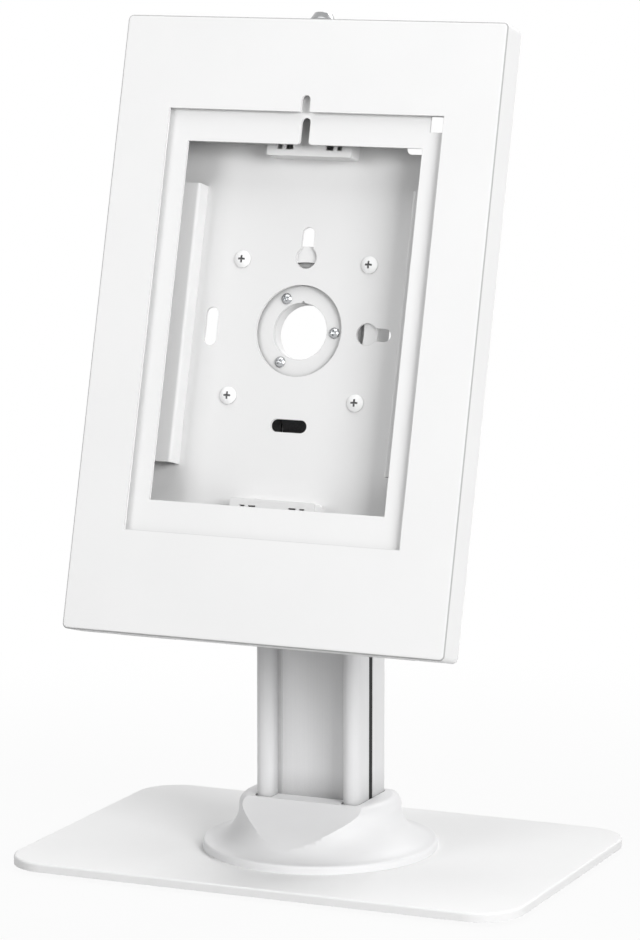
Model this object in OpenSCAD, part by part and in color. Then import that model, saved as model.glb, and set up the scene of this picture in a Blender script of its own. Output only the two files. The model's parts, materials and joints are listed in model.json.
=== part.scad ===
// Tablet security kiosk stand: a lockable tablet case on a tilting, turning head,
// carried by an aluminium post on a weighted base plate.
// Millimetres. +Z is up, the front faces -Y, and z = 0 is the surface that the feet stand on.
// The rest pose is portrait, leaning back, with the front cover closed.

/* [Base plate] */
// Width of the base plate
base_w = 300; // [260:5:380]
// Depth of the base plate, front to back
base_d = 200; // [180:5:280]
// Thickness of the base plate
base_t = 5; // [4:0.5:8]
// Corner radius of the base plate
base_corner_r = 25; // [10:1:40]
// Rounding of the plate's upper edge
base_edge_r = 1.2; // [0.4:0.2:2]
// Diameter of a rubber foot
foot_d = 20; // [12:1:28]
// Height of a rubber foot
foot_h = 2.5; // [1.5:0.5:5]
// Distance from the plate's edges to a foot's centre
foot_inset = 26; // [18:1:40]

/* [Base cover] */
// Diameter of the moulded cover around the foot of the post
skirt_d = 131; // [124:1:144]
// Height of the cover
skirt_h = 30; // [27:1:38]
// Diameter of the cover's upper collar
collar_d = 90.5; // [88:0.5:96]
// Height of the rim that stands on the plate
rim_h = 4.5; // [3.5:0.5:6]
// Rounding of the rim
rim_r = 1.5; // [1:0.25:2]
// Rounding of the collar's shoulder
shoulder_r = 6; // [4:0.5:7]
// Width of the flat lip between the post and a facet
facet_lip = 2.1; // [1.5:0.1:3]
// Wall of the cover
skirt_wall = 2.2; // [1.6:0.2:3]

/* [Post] */
// Width of the post
post_w = 62; // [60:1:70]
// Depth of the post
post_d = 41; // [38:1:46]
// Length of the post
post_len = 212; // [160:1:320]
// Place of the post's middle, front to back
post_y = 0; // [-4:0.5:4]
// Rounding of the cable cover's corners
post_corner_r = 3; // [2.5:0.5:5]
// Width of each front column, which has a round nose
column_w = 10; // [9:0.5:11]
// Depth of the front channel's walls
channel_depth = 9.5; // [8:0.5:10]
// How much deeper the channel's hollow floor is in its middle
floor_sag = 3.5; // [2:0.5:4.5]
// Ledge between the channel's wall and its floor
ledge_w = 2.4; // [1:0.1:2.6]
// Thickness of the channel's floor
web_t = 2.5; // [2:0.25:3.5]
// Depth of the front profile, up to the side slots
profile_d = 17; // [16.5:0.5:18]
// Width of the side slots
side_slot = 5; // [3:0.2:5.6]
// Wall of the cable cover
cover_wall = 2; // [1.5:0.25:2.5]
// Width of the cable outlet in the cable cover
outlet_w = 16; // [10:1:24]
// Height of the cable outlet
outlet_h = 12; // [8:1:20]
// Diameter of the screws in the ends of the post
port_screw_d = 4; // [3:0.5:4.5]

/* [Tilt hinge] */
// Lean of the case from upright in the rest pose
lean = 15; // [5:1:25]
// Place of the tilt axis, front to back
pivot_y = -7; // [-10:0.5:-3]
// Height of the tilt axis above the end of the post
pivot_rise = 22.5; // [20:0.5:30]
// Thickness of the hinge's foot on the post
head_t = 7; // [6:0.5:8]
// Diameter of the hinge barrel
barrel_d = 25; // [21:1:26]
// Width of the hinge barrel
barrel_w = 28; // [24:1:30]
// Thickness of a hinge ear
ear_t = 6.5; // [5:0.5:7]
// Rounding of a hinge ear about the axis
ear_r = 13; // [11.5:0.5:14]
// Diameter of the tilt bolt
tilt_bolt_d = 8; // [6:1:10]
// Thickness of a friction washer beside the barrel
tilt_washer_t = 0.8; // [0.5:0.1:1.2]
// Distance from the tilt axis up to the hub's axis, along the case
hub_rise = 50; // [48:1:60]
// Distance from the tilt axis to the case's back
hub_reach = 35; // [34:1:42]

/* [Turning hub] */
// Diameter of the cable bore through the hub
bore_d = 31; // [24:1:31]
// Diameter of the spigot that the case turns on
spigot_d = 46; // [45:0.5:48]
// Diameter of the retainer ring
ring_d = 58; // [54:1:62]
// Thickness of the retainer ring
ring_t = 1.4; // [1.2:0.1:2.4]
// Diameter of the circle of the ring's screws
ring_pcd = 40; // [38.5:0.5:40]
// Thickness of a friction ring
swivel_washer_t = 0.9; // [0.6:0.1:1.2]
// Diameter of the hub's flange
hub_flange_d = 62; // [58:1:66]
// Thickness of the hub's flange
hub_flange_t = 4; // [3:0.5:5]
// Thickness of the yoke's round plate
yoke_t = 5; // [4:0.5:6]
// Bore of the yoke's round plate
yoke_bore_d = 38; // [34:1:40]
// Half width of the yoke's arm where it meets the plate
arm_half_w = 20; // [16:1:22]

/* [Mounting plate] */
// Spacing of the square screw pattern
vesa = 75; // [70:1:80]
// Width of the mounting plate
plate_w = 91.5; // [88:0.5:96]
// Height of the mounting plate
plate_h = 92.5; // [88:0.5:95]
// Corner radius of the mounting plate
plate_corner_r = 6; // [3:1:8]
// Diameter of the round dish in the plate's front
dish_d = 75.2; // [68:0.2:76]
// Thickness of the plate's rim that turns between the friction rings
turn_rim_t = 2.3; // [1.8:0.1:3]
// Depth of the stiffening flanges at the plate's sides
plate_flange = 16; // [8:1:16]
// Thickness of those flanges
plate_flange_t = 2.5; // [1.5:0.5:3]
// Diameter of the case's mounting screws
case_screw_d = 4; // [3:0.5:5]

/* [Case] */
// Width of the case
case_w = 223.5; // [215:0.5:250]
// Height of the case
case_h = 339; // [325:1:360]
// Depth of the case
case_depth = 23.5; // [22:0.5:28]
// How far the case's middle lies below the hub
case_drop = 2.5; // [0:0.5:5]
// Sheet thickness of the cover and the tray
sheet = 1.5; // [1.2:0.1:2]
// Depth of the front cover's sides
cover_depth = 20; // [18:0.5:20.5]
// Corner radius of the case
case_corner_r = 3; // [2.5:0.5:5]
// Rounding of the front cover's bent edges
case_edge_r = 1.4; // [0.6:0.2:2]
// Clearance between the front cover and the tray
case_gap = 0.8; // [0.6:0.1:1.2]
// Width of the front cover's window
window_w = 161; // [140:1:168]
// Height of the front cover's window
window_h = 231.5; // [205:0.5:236]
// Width of the camera notches
notch_w = 5; // [4:0.5:8]
// Height of the camera notch in the front cover
notch_h = 9; // [6:0.5:10]
// Depth of the tray's walls
tray_depth = 17.5; // [15:0.5:18]
// Diameter of the tray's hole over the hub
hub_hole_d = 50; // [46:1:54]
// Distance from the hub to the plain wall-mounting slots
slot_reach = 52; // [48:0.5:56]
// Width of the wall-mounting slots
slot_w = 7; // [5:0.5:8]
// Length of the plain slots
slot_len = 21; // [14:1:26]
// Diameter of the keyholes' round ends
keyhole_d = 12; // [9:0.5:13]
// Distance from the hub to the keyholes' round ends
keyhole_reach = 40; // [37:0.5:42]
// Length of the upper keyhole's narrow part, from its round end to its seat
keyhole_len = 13; // [9:0.5:16]
// Length of the side keyhole's narrow part, from its round end to its seat
side_keyhole_len = 10.5; // [9:0.5:14]
// Size of the tray's opening for a rear camera
camera_hole = 21; // [14:1:26]
// Place of that opening's lower left corner from the hub, across
camera_x = 52; // [46:1:60]
// Place of that opening's lower left corner from the hub, up
camera_y = 98.4; // [94:0.2:110]

/* [Mask and tablet rests] */
// Width of the mask's opening
mask_open_w = 137.5; // [110:0.5:146]
// Height of the mask's opening
mask_open_h = 197; // [160:0.5:204]
// Overlap of the mask behind the front cover's window edge
mask_lap = 11.5; // [9:0.5:14]
// Thickness of the mask
mask_t = 1.2; // [0.8:0.1:1.6]
// Depth of the mask's face behind the case's front
mask_depth = 3.2; // [2.5:0.1:4.5]
// Height of the camera notch in the mask
mask_notch_h = 14.5; // [8:0.5:16]
// Rounding of that notch's lower corners
notch_corner_r = 2; // [1:0.25:2.5]
// Size of the square notch in the mask's upper right corner, seen in the window
corner_notch = 8.4; // [5:0.2:9]
// Diameter of the mask's studs
stud_d = 3; // [2.5:0.5:4]
// Depth of the tablet's rests behind the case's front
rest_depth = 11; // [9:0.5:14]
// Sheet thickness of the rests
rest_t = 1.2; // [0.8:0.1:1.6]
// Distance of each side rail's inner face from the middle
rail_x = 62.5; // [55:0.5:68]
// Width of a side rail
rail_w = 18; // [10:1:22]
// Length of a side rail
rail_len = 153.5; // [120:0.5:170]
// Outer radius of a side rail's folds
rail_fold_r = 1.8; // [1.6:0.1:2.4]
// Width of the end brackets
bracket_w = 50; // [44:1:64]
// Height of the end brackets
bracket_h = 20; // [16:0.5:24]
// Distance of the end brackets' inner edges from the hub
bracket_y = 93.5; // [88:0.5:98]
// Distance of the end brackets' inner windows from the middle
bracket_window_x = 9.7; // [6:0.1:10]
// Width of an inner window in the end brackets
bracket_window_w = 4.3; // [2:0.1:5]
// Width of an outer window in the end brackets
bracket_outer_w = 2.9; // [2:0.1:4]
// Height of the windows in the end brackets
bracket_window_h = 6; // [4:0.5:8]
// Width of the bridge between two windows
bracket_bridge = 2.1; // [1:0.1:2.4]

/* [Lock and cover hinge] */
// Depth of the lock's axis behind the case's front
lock_depth = 11; // [10:0.25:12]
// Diameter of the lock's threaded body
lock_d = 12; // [10:0.5:13]
// Diameter of the lock's head
lock_head_d = 14; // [13:0.5:16]
// Height of the lock's head
lock_head_h = 5; // [4:0.5:8]
// Length of the lock's body below its head
lock_len = 18; // [15:0.5:22]
// Diameter of the turning plug
plug_d = 7.2; // [6:0.2:7.6]
// Reach of the cam from the lock's axis
cam_reach = 10.3; // [9.5:0.1:10.4]
// Width of the cam
cam_w = 6; // [5:0.5:7]
// Thickness of the cam
cam_t = 2; // [1.5:0.25:3]
// Outer radius of the cover's hinge knuckles
knuckle_r = 2.5; // [2.2:0.1:3]
// Diameter of the cover's hinge pins
hinge_pin_d = 2.4; // [1.8:0.1:2.6]
// Distance of each cover hinge from the middle
hinge_x = 70; // [50:1:90]
// Length of a cover knuckle
knuckle_len = 16; // [10:1:24]

/* [Hidden] */

$fn = 64;
// Overshoot of cuts past the faces that they open
cut = 1;
// Radial clearance of a running fit
running_gap = 0.05;
// Radial clearance of a screw in its hole
screw_gap = 0.1;
// Clearance between parts that slide or turn beside each other
slip_gap = 0.3;
// Clearance between a turning rim and its friction ring
rub_gap = 0.1;
// Clearance between the base cover and the post
cover_fit = 0.4;

// Colours of the finishes
coat_white = [0.93, 0.93, 0.93];
moulded_white = [0.88, 0.88, 0.88];
post_grey = [0.84, 0.84, 0.84];
hinge_grey = [0.2, 0.2, 0.2];
rubber_black = [0.05, 0.05, 0.05];
zinc = [0.75, 0.76, 0.78];
chrome = [0.82, 0.83, 0.85];

// Heights on the stand
plate_top = foot_h + base_t;
post_top = plate_top + post_len;
pivot_z = post_top + pivot_rise;

// Post section, in the post's own frame with its middle at the origin
column_in = post_w / 2 - column_w;
front_y = -post_d / 2;
slot_y = front_y + profile_d;
cover_y = slot_y + side_slot;
ledge_y = front_y + channel_depth;
floor_half = column_in - ledge_w;
floor_r = (floor_half * floor_half + floor_sag * floor_sag) / (2 * floor_sag);
floor_centre_y = ledge_y + 1 + floor_sag - floor_r;
leg_t = 1.8;
leg_len = side_slot + 3;
column_edge_r = 0.5;
strip_recess = 0.3;
port_x = post_w / 2 - column_w / 2;
port_ys = [front_y + column_w / 2, slot_y - 4];
ports = [for (sx = [-1, 1], y = port_ys) [sx * port_x, y]];
port_screw_len = 16;
port_head_d = port_screw_d * 1.6;
port_head_h = port_screw_d * 0.6;

// Base cover, in its own frame on the plate
skirt_r = skirt_d / 2;
collar_r = collar_d / 2;
flare_r = skirt_r - rim_r - collar_r;
arc_steps = 12;
// How far a facet stays above the flare that it runs into
facet_blend = 0.15;
facet_y = max(-(post_y + front_y), post_y + post_d / 2) + cover_fit + facet_lip;

// Hinge and hub, in the head's frame: origin on the hub's axis at the case's back, +Y up the case,
// +Z out of its front
ear_in = barrel_w / 2 + tilt_washer_t + rub_gap * 2;
ear_out = ear_in + ear_t;
ear_foot = 3;
ring_recess = 0.8;
ring_back = -ring_recess - ring_t;
rim_front = ring_back - swivel_washer_t - rub_gap;
plate_back = rim_front - turn_rim_t;
hub_front = plate_back - rub_gap - swivel_washer_t;
hub_back = hub_front - hub_flange_t;
yoke_back = hub_back - yoke_t;
bore_margin = 1;
arm_top = -yoke_bore_d / 2 - bore_margin;
arm_drop = 3 - hub_flange_d / 2;
neck_top = -hub_rise + ear_r + 1;
ring_screw_d = 3;
ring_screw_head_r = 3;
ring_screw_head_h = 1.8;
hub_screw_d = 4;
hub_screw_head_r = 3.5;
hub_screw_head_h = 2.2;
hub_screw_r = (yoke_bore_d + hub_flange_d) / 4;
key_notch_d = 1.8;
key_notch_depth = 4;
case_screw_head_r = 4.75;
case_screw_head_h = 2.2;

// Case, in the head's frame
case_mid = -case_drop;
case_top = case_mid + case_h / 2;
flange_z = case_depth - cover_depth;
tray_w = case_w - 2 * sheet - 2 * case_gap;
tray_h = case_h - 2 * sheet - 2 * case_gap;
mask_front = case_depth - mask_depth;
mask_back = mask_front - mask_t;
cover_back = case_depth - sheet;
mask_w = window_w + 2 * mask_lap;
mask_h = window_h + 2 * (mask_lap + notch_h - 5);
stud_x = window_w / 2 + mask_lap / 2;
studs = [for (sx = [-1, 1], y = [-1, 0, 1]) [sx * stud_x, y * (window_h / 2 - 17)]];
stud_nut_h = 2.4;
stud_nut_r = 3.4;
spacer_r = 3.5;
stud_end = mask_back - stud_nut_h - 0.8;
rest_z = case_depth - rest_depth;
bracket_window_y = 3.6;

// Lock, in its own frame on the case's top: +Z out of the case, +Y to the case's back
lock_z = case_depth - lock_depth;
lock_nut_h = 2.5;
lock_nut_r = lock_d * 0.72;
lock_slot_half = lock_nut_r + slip_gap * 2;
tang = plug_d * 0.62;
key_slot = [1.2, plug_d * 0.7, 4];
cam_screw_d = 2.8;
cam_screw_head_r = 3;
cam_screw_head_h = 1.8;
cam_screw_len = 6;
cam_z = -lock_len - rub_gap;
keeper_x = lock_d / 2 + 1;
keeper_t = 1.2;
keeper_h = 18;
keeper_foot = 10;
keeper_margin = 1;
keeper_bar = 2.4;

// Cover hinge, in the head's frame
hinge_y = case_mid - case_h / 2 + knuckle_r;
hinge_z = flange_z - knuckle_r - slip_gap;
hinge_side_gap = 0.4;
tray_knuckle_len = 8;
hinge_pin_len = knuckle_len + 2 * (tray_knuckle_len + hinge_side_gap);

// Shared shapes

// Rectangle about the origin with round corners
module round_rect(w, h, r) {
    square([w - 2 * r, h], center = true);
    square([w, h - 2 * r], center = true);
    for (sx = [-1, 1], sy = [-1, 1])
        translate([sx * (w / 2 - r), sy * (h / 2 - r)]) circle(r);
}

// Upright box with round corners, standing on z = 0
module round_box(w, h, t, r) {
    linear_extrude(t) round_rect(w, h, r);
}

// Half section of a plate whose upper edge is rounded
module edge_section(reach, t, edge) {
    square([reach - edge, t]);
    square([reach, t - edge]);
    translate([reach - edge, t - edge]) circle(edge);
}

// Whole section of the same plate
module plate_section(reach, t, edge) {
    edge_section(reach, t, edge);
    mirror([1, 0]) edge_section(reach, t, edge);
}

// Plate with round corners and a rounded upper edge, standing on z = 0
module soft_plate(w, d, t, r, edge) {
    rotate([90, 0, 0]) linear_extrude(d - 2 * r, center = true) plate_section(w / 2, t, edge);
    rotate([90, 0, 90]) linear_extrude(w - 2 * r, center = true) plate_section(d / 2, t, edge);
    for (sx = [-1, 1], sy = [-1, 1])
        translate([sx * (w / 2 - r), sy * (d / 2 - r), 0]) rotate_extrude() edge_section(r, t, edge);
}

// Slot through z = 0, between two points
module slot(from, to, w, t) {
    run = to - from;
    translate([from[0], from[1], -cut]) rotate([0, 0, atan2(run[1], run[0])]) {
        translate([0, -w / 2, 0]) cube([norm(run), w, t + 2 * cut]);
        cylinder(d = w, h = t + 2 * cut);
        translate([norm(run), 0, 0]) cylinder(d = w, h = t + 2 * cut);
    }
}

// Domed screw head standing on z = 0
module dome(r, h) {
    ball = (r * r + h * h) / (2 * h);
    intersection() {
        translate([0, 0, h - ball]) sphere(ball);
        translate([-ball, -ball, 0]) cube([2 * ball, 2 * ball, 2 * h]);
    }
}

// Screw along -Z with a domed head and a cross recess
module cross_screw(d, len, head_r, head_h) {
    recess = head_h * 0.6;
    difference() {
        dome(head_r, head_h);
        for (turn = [0, 90])
            rotate([0, 0, turn]) translate([-head_r * 0.5, -head_r * 0.1, head_h - recess])
                cube([head_r, head_r * 0.2, recess + cut]);
    }
    translate([0, 0, -len]) cylinder(d = d, h = len);
}

// Ring standing on z = 0
module ring(outer_r, inner_r, t) {
    difference() {
        cylinder(r = outer_r, h = t);
        translate([0, 0, -cut]) cylinder(r = inner_r, h = t + 2 * cut);
    }
}

// Point where a line from p touches a circle about c, on the given side
function touch(p, c, r, side) = let(d = p - c, a = atan2(d[1], d[0]) + side * acos(r / norm(d)))
    c + r * [cos(a), sin(a)];

// Frames of the sub-assemblies
module on_post() {
    translate([0, post_y, plate_top]) children();
}

module in_head() {
    translate([0, pivot_y, pivot_z]) rotate([90 - lean, 0, 0]) translate([0, hub_rise, hub_reach]) children();
}

module on_lock() {
    in_head() translate([0, case_top, lock_z]) rotate([-90, 0, 0]) children();
}

// Axis across the head through a point, from x = 0
module across(y, z) {
    translate([0, y, z]) rotate([0, 90, 0]) children();
}

// Base
module base_plate() {
    sink = port_head_h + 0.2;
    color(coat_white) difference() {
        translate([0, 0, foot_h]) soft_plate(base_w, base_d, base_t, base_corner_r, base_edge_r);
        for (p = ports) translate([p[0], p[1] + post_y, foot_h]) {
            translate([0, 0, -cut]) cylinder(d = port_screw_d + 2 * screw_gap, h = base_t + 2 * cut);
            cylinder(d1 = port_head_d + 0.4, d2 = port_screw_d + 0.4, h = sink);
            translate([0, 0, -cut]) cylinder(d = port_head_d + 0.4, h = cut);
        }
    }
}

module rubber_feet() {
    chamfer = min(0.6, foot_h / 3);
    color(rubber_black)
        for (sx = [-1, 1], sy = [-1, 1])
            translate([sx * (base_w / 2 - foot_inset), sy * (base_d / 2 - foot_inset), 0])
                rotate_extrude() polygon([[0, 0], [foot_d / 2 - chamfer, 0], [foot_d / 2, chamfer],
                    [foot_d / 2, foot_h], [0, foot_h]]);
}

module post_bolts() {
    color(zinc) for (p = ports) translate([p[0], p[1] + post_y, foot_h]) difference() {
        union() {
            cylinder(d1 = port_head_d, d2 = port_screw_d, h = port_head_h);
            cylinder(d = port_screw_d, h = base_t + port_screw_len);
        }
        translate([0, 0, -cut]) cylinder(d = port_screw_d * 0.5, h = cut + port_head_h * 0.7, $fn = 6);
    }
}

// Half section of the base cover's bell, set in by a wall
function bell_points(inset, floor) = let(
        centre = [collar_r + flare_r, rim_h + flare_r],
        top = skirt_h - inset,
        round = shoulder_r - min(inset, shoulder_r * 0.75))
    concat(
        [[0, floor], [skirt_r - inset, floor]],
        [for (i = [0:4]) let(a = 90 * i / 4, r = inset == 0 ? rim_r : 0)
            [skirt_r - inset - r + r * cos(a), rim_h - inset - r + r * sin(a)]],
        [for (i = [1:arc_steps]) let(a = -90 - 90 * i / arc_steps)
            centre + (flare_r + inset) * [cos(a), sin(a)]],
        [for (i = [0:5]) let(a = 90 * i / 5)
            [collar_r - inset - round + round * cos(a), top - round + round * sin(a)]],
        [[0, top]]);

// Half section without the repeated points of the square inner rim
function distinct(points) =
    [for (i = [0:len(points) - 1]) if (i == 0 || norm(points[i] - points[i - 1]) > 0.001) points[i]];

// Side view of what a facet cuts away: a flat that runs from the lip into the flare without a step
module facet_side(inset) {
    centre = [-collar_r - flare_r, rim_h + flare_r];
    lip = [-facet_y, skirt_h];
    arc_r = flare_r - facet_blend;
    end = touch(lip, centre, arc_r, -1);
    inward = (end - centre) / arc_r;
    start = atan2(inward[1], inward[0]);
    far = -skirt_r - cut;
    polygon(concat(
        [lip + inset * inward + (lip - end) * 0.5],
        [for (i = [0:arc_steps]) let(a = start + (-90 - start) * i / arc_steps)
            centre + (arc_r + inset) * [cos(a), sin(a)]],
        [[far, rim_h + facet_blend - inset], [far, skirt_h * 2]]));
}

module bell(inset, floor) {
    difference() {
        rotate_extrude() polygon(distinct(bell_points(inset, floor)));
        for (turn = [0, 180])
            rotate([0, 0, turn]) rotate([90, 0, 90]) linear_extrude(skirt_d, center = true) facet_side(inset);
    }
}

module base_cover() {
    color(moulded_white) translate([0, 0, plate_top]) difference() {
        bell(0, 0);
        bell(skirt_wall, -cut);
        translate([0, post_y, 0]) linear_extrude(skirt_h + cut) post_opening();
    }
}

// Post
// Column of the front profile, with its outer face at x = 0 and its nose at the front
module column() {
    translate([-column_w / 2, front_y + column_w / 2]) circle(d = column_w);
    translate([-column_w / 2, (front_y + column_w / 2 + slot_y) / 2]) {
        translate([0, -column_edge_r]) square([column_w, slot_y - front_y - column_w / 2 - 2 * column_edge_r], true);
        round_rect(column_w, slot_y - front_y - column_w / 2, column_edge_r);
    }
}

// Hollow floor of the front channel, with a ledge along each column
module channel_floor() {
    intersection() {
        translate([-column_in - cut, ledge_y]) square([2 * (column_in + cut), slot_y - ledge_y]);
        translate([0, floor_centre_y]) difference() {
            circle(floor_r + web_t, $fn = 180);
            intersection() {
                circle(floor_r, $fn = 180);
                square([2 * floor_half, 2 * floor_r + cut], center = true);
            }
        }
    }
}

module post_profile() {
    color(post_grey) on_post() linear_extrude(post_len) difference() {
        union() {
            for (side = [0, 1]) mirror([side, 0]) translate([post_w / 2, 0]) column();
            channel_floor();
        }
        for (p = ports) translate(p) circle(d = port_screw_d + 2 * screw_gap);
    }
}

// Hole in the base cover: square cornered round the columns, with a tongue in the channel
module post_opening() {
    difference() {
        round_rect(post_w + 2 * cover_fit, post_d + 2 * cover_fit, post_corner_r);
        translate([cover_fit - column_in, front_y - cover_fit - cut])
            square([2 * (column_in - cover_fit), channel_depth + cut]);
    }
}

module cable_cover() {
    depth = post_d / 2 - cover_y;
    flange_in = column_in - cover_fit - leg_t;
    color(post_grey) on_post() difference() {
        linear_extrude(post_len) {
            translate([0, cover_y + depth / 2]) difference() {
                round_rect(post_w, depth, post_corner_r);
                round_rect(post_w - 2 * cover_wall, depth - 2 * cover_wall, post_corner_r - cover_wall);
                translate([-flange_in, -depth / 2 - cut]) square([2 * flange_in, 2 * cut + cover_wall]);
            }
            for (sx = [-1, 1])
                translate([sx * (flange_in + leg_t / 2) - leg_t / 2, cover_y - leg_len])
                    square([leg_t, leg_len + cover_wall]);
        }
        translate([0, post_d / 2 + cut, skirt_h + outlet_h / 2 + cover_wall]) rotate([90, 0, 0])
            linear_extrude(cover_wall + 2 * cut) round_rect(outlet_w, outlet_h, outlet_h * 0.3);
    }
}

module slot_strips() {
    strip_in = column_in + 0.2;
    strip_w = post_w / 2 - strip_recess - strip_in;
    color(rubber_black) on_post()
        for (sx = [-1, 1])
            translate([sx * (strip_in + strip_w / 2) - strip_w / 2, slot_y + rub_gap, 0])
                cube([strip_w, side_slot - 2 * rub_gap, post_len]);
}

// Tilt hinge
// Side view of an ear: across is front to back from the post's middle, up is from the post's end
module ear_side() {
    axis = [pivot_y - post_y, pivot_rise];
    front = [front_y + ear_foot, head_t / 2];
    rear = [axis[0] * 2 - front[0] + ear_foot, head_t / 2];
    polygon([front, rear, touch(rear, axis, ear_r - 0.4, 1), axis, touch(front, axis, ear_r - 0.4, -1)]);
    translate(axis) circle(ear_r);
}

module post_head() {
    notch_d = post_d / 2 - cover_y - cover_wall;
    color(hinge_grey) translate([0, post_y, post_top]) difference() {
        union() {
            round_box(post_w, post_d, head_t, post_corner_r);
            for (sx = [-1, 1])
                translate([sx * (ear_in + ear_t / 2) - ear_t / 2, 0, 0])
                    rotate([90, 0, 90]) linear_extrude(ear_t) ear_side();
        }
        translate([-ear_out, pivot_y - post_y, pivot_rise]) rotate([0, 90, 0]) translate([0, 0, -cut])
            cylinder(d = tilt_bolt_d + 4 * screw_gap, h = 2 * (ear_out + cut));
        for (p = ports) translate(p) {
            translate([0, 0, -cut]) cylinder(d = port_screw_d + 2 * screw_gap, h = head_t + 2 * cut);
            translate([0, 0, head_t - port_head_h]) cylinder(d = port_head_d + 2 * screw_gap, h = cut + port_head_h);
        }
        translate([-outlet_w / 2, post_d / 2 - notch_d, -cut]) cube([outlet_w, notch_d + cut, head_t + 2 * cut]);
    }
}

module head_screws() {
    color(zinc) for (p = ports) translate([p[0], p[1] + post_y, post_top + head_t]) difference() {
        union() {
            translate([0, 0, -port_head_h]) cylinder(d = port_head_d, h = port_head_h);
            translate([0, 0, -head_t - port_screw_len]) cylinder(d = port_screw_d, h = head_t + port_screw_len);
        }
        translate([0, 0, -port_head_h * 0.6]) cylinder(d = port_screw_d * 0.6, h = port_head_h, $fn = 6);
    }
}

module tilt_bolt() {
    head_h = tilt_bolt_d * 0.55;
    head_r = tilt_bolt_d * 0.85;
    end = ear_out + tilt_bolt_d * 0.9;
    color(zinc) in_head() across(-hub_rise, -hub_reach) difference() {
        union() {
            translate([0, 0, -ear_out - 1]) cylinder(d = tilt_bolt_d, h = ear_out + end + 1);
            translate([0, 0, -ear_out]) mirror([0, 0, 1]) dome(head_r, head_h);
        }
        translate([0, 0, -ear_out - head_h - cut]) cylinder(d = tilt_bolt_d * 0.6, h = cut + head_h * 0.7, $fn = 6);
    }
}

module tilt_nut() {
    color(zinc) in_head() across(-hub_rise, -hub_reach) translate([0, 0, ear_out]) difference() {
        cylinder(d = tilt_bolt_d * 1.85, h = tilt_bolt_d * 0.8, $fn = 6);
        translate([0, 0, -cut]) cylinder(d = tilt_bolt_d + 2 * screw_gap, h = tilt_bolt_d + 2 * cut);
    }
}

module tilt_washers() {
    color(moulded_white) in_head() across(-hub_rise, -hub_reach)
        for (start = [-ear_in, ear_in - tilt_washer_t])
            translate([0, 0, start]) ring(ear_r - 2, tilt_bolt_d / 2 + 2 * screw_gap, tilt_washer_t);
}

// Point at a level on the line between two points
function at_level(a, b, level) = a + (b - a) * (level - a[0]) / (b[0] - a[0]);

// Side view of the yoke's arm, down to the barrel or to a level: across is up the case, up is forward
module arm_side(level = 0) {
    foot = [-hub_rise, -hub_reach];
    shoulder = [arm_drop, hub_back];
    heel = [arm_top, yoke_back - 1.5];
    front = touch(shoulder, foot, barrel_d / 2 - 1, 1);
    rear = foot + [barrel_d * 0.3, barrel_d * 0.15];
    end = level == 0 ? [front, foot, rear]
        : [at_level(shoulder, front, level), at_level(heel, rear, level)];
    polygon(concat([[arm_top, hub_back], shoulder], end, [heel]));
}

module tilt_yoke() {
    color(hinge_grey) in_head() difference() {
        union() {
            translate([0, 0, yoke_back]) ring(hub_flange_d / 2, yoke_bore_d / 2, yoke_t);
            rotate([90, 0, 90]) linear_extrude(barrel_w, center = true) arm_side();
            rotate([90, 0, 90]) linear_extrude(2 * arm_half_w, center = true) arm_side(neck_top);
            across(-hub_rise, -hub_reach) cylinder(d = barrel_d, h = barrel_w, center = true);
        }
        across(-hub_rise, -hub_reach)
            cylinder(d = tilt_bolt_d + 2 * running_gap, h = barrel_w + 2 * cut, center = true);
        hub_screw_places() translate([0, 0, yoke_back - cut])
            cylinder(d = hub_screw_d + 2 * screw_gap, h = yoke_t + 2 * cut);
    }
}

// Turning hub
module hub_screw_places() {
    for (a = [90, 210, 330]) rotate([0, 0, a]) translate([hub_screw_r, 0, 0]) children();
}

module ring_screw_places() {
    for (a = [0, 120, 240]) rotate([0, 0, a]) translate([ring_pcd / 2, 0, 0]) children();
}

// Keying notch at the top of the cable bore, from a level up
module key_notch(level) {
    translate([0, bore_d / 2, level]) cylinder(d = key_notch_d, h = case_depth);
}

module hub_body() {
    color(coat_white) in_head() difference() {
        union() {
            translate([0, 0, hub_back]) cylinder(d = hub_flange_d, h = hub_flange_t);
            translate([0, 0, hub_back]) cylinder(d = spigot_d, h = ring_back - hub_back);
        }
        translate([0, 0, hub_back - cut]) cylinder(d = bore_d, h = ring_back - hub_back + 2 * cut);
        key_notch(ring_back - key_notch_depth);
        hub_screw_places() translate([0, 0, hub_back - cut])
            cylinder(d = hub_screw_d + 2 * screw_gap, h = hub_flange_t * 0.8 + cut);
        ring_screw_places() translate([0, 0, hub_front])
            cylinder(d = ring_screw_d + 2 * screw_gap, h = ring_back - hub_front + cut);
    }
}

module hub_screws() {
    color(zinc) in_head() hub_screw_places() translate([0, 0, yoke_back]) mirror([0, 0, 1])
        cross_screw(hub_screw_d, yoke_t + hub_flange_t * 0.7, hub_screw_head_r, hub_screw_head_h);
}

module swivel_washers() {
    inner_r = spigot_d / 2 + 2 * screw_gap;
    color(moulded_white) in_head() {
        translate([0, 0, ring_back - swivel_washer_t]) ring(ring_d / 2 - slip_gap, inner_r, swivel_washer_t);
        translate([0, 0, hub_front]) ring(hub_flange_d / 2 - 1, inner_r, swivel_washer_t);
    }
}

module retainer_ring() {
    color(coat_white) in_head() difference() {
        translate([0, 0, ring_back]) ring(ring_d / 2, bore_d / 2, ring_t);
        key_notch(ring_back - cut);
        ring_screw_places() translate([0, 0, ring_back - cut])
            cylinder(d = ring_screw_d + 2 * screw_gap, h = ring_t + 2 * cut);
    }
}

module ring_screws() {
    len = -ring_recess - hub_front - 0.4;
    color(chrome) in_head() ring_screw_places() translate([0, 0, -ring_recess])
        cross_screw(ring_screw_d, len, ring_screw_head_r, ring_screw_head_h);
}

// Mounting plate
module case_screw_places() {
    for (sx = [-1, 1], sy = [-1, 1]) translate([sx * vesa / 2, sy * vesa / 2, 0]) children();
}

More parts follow.
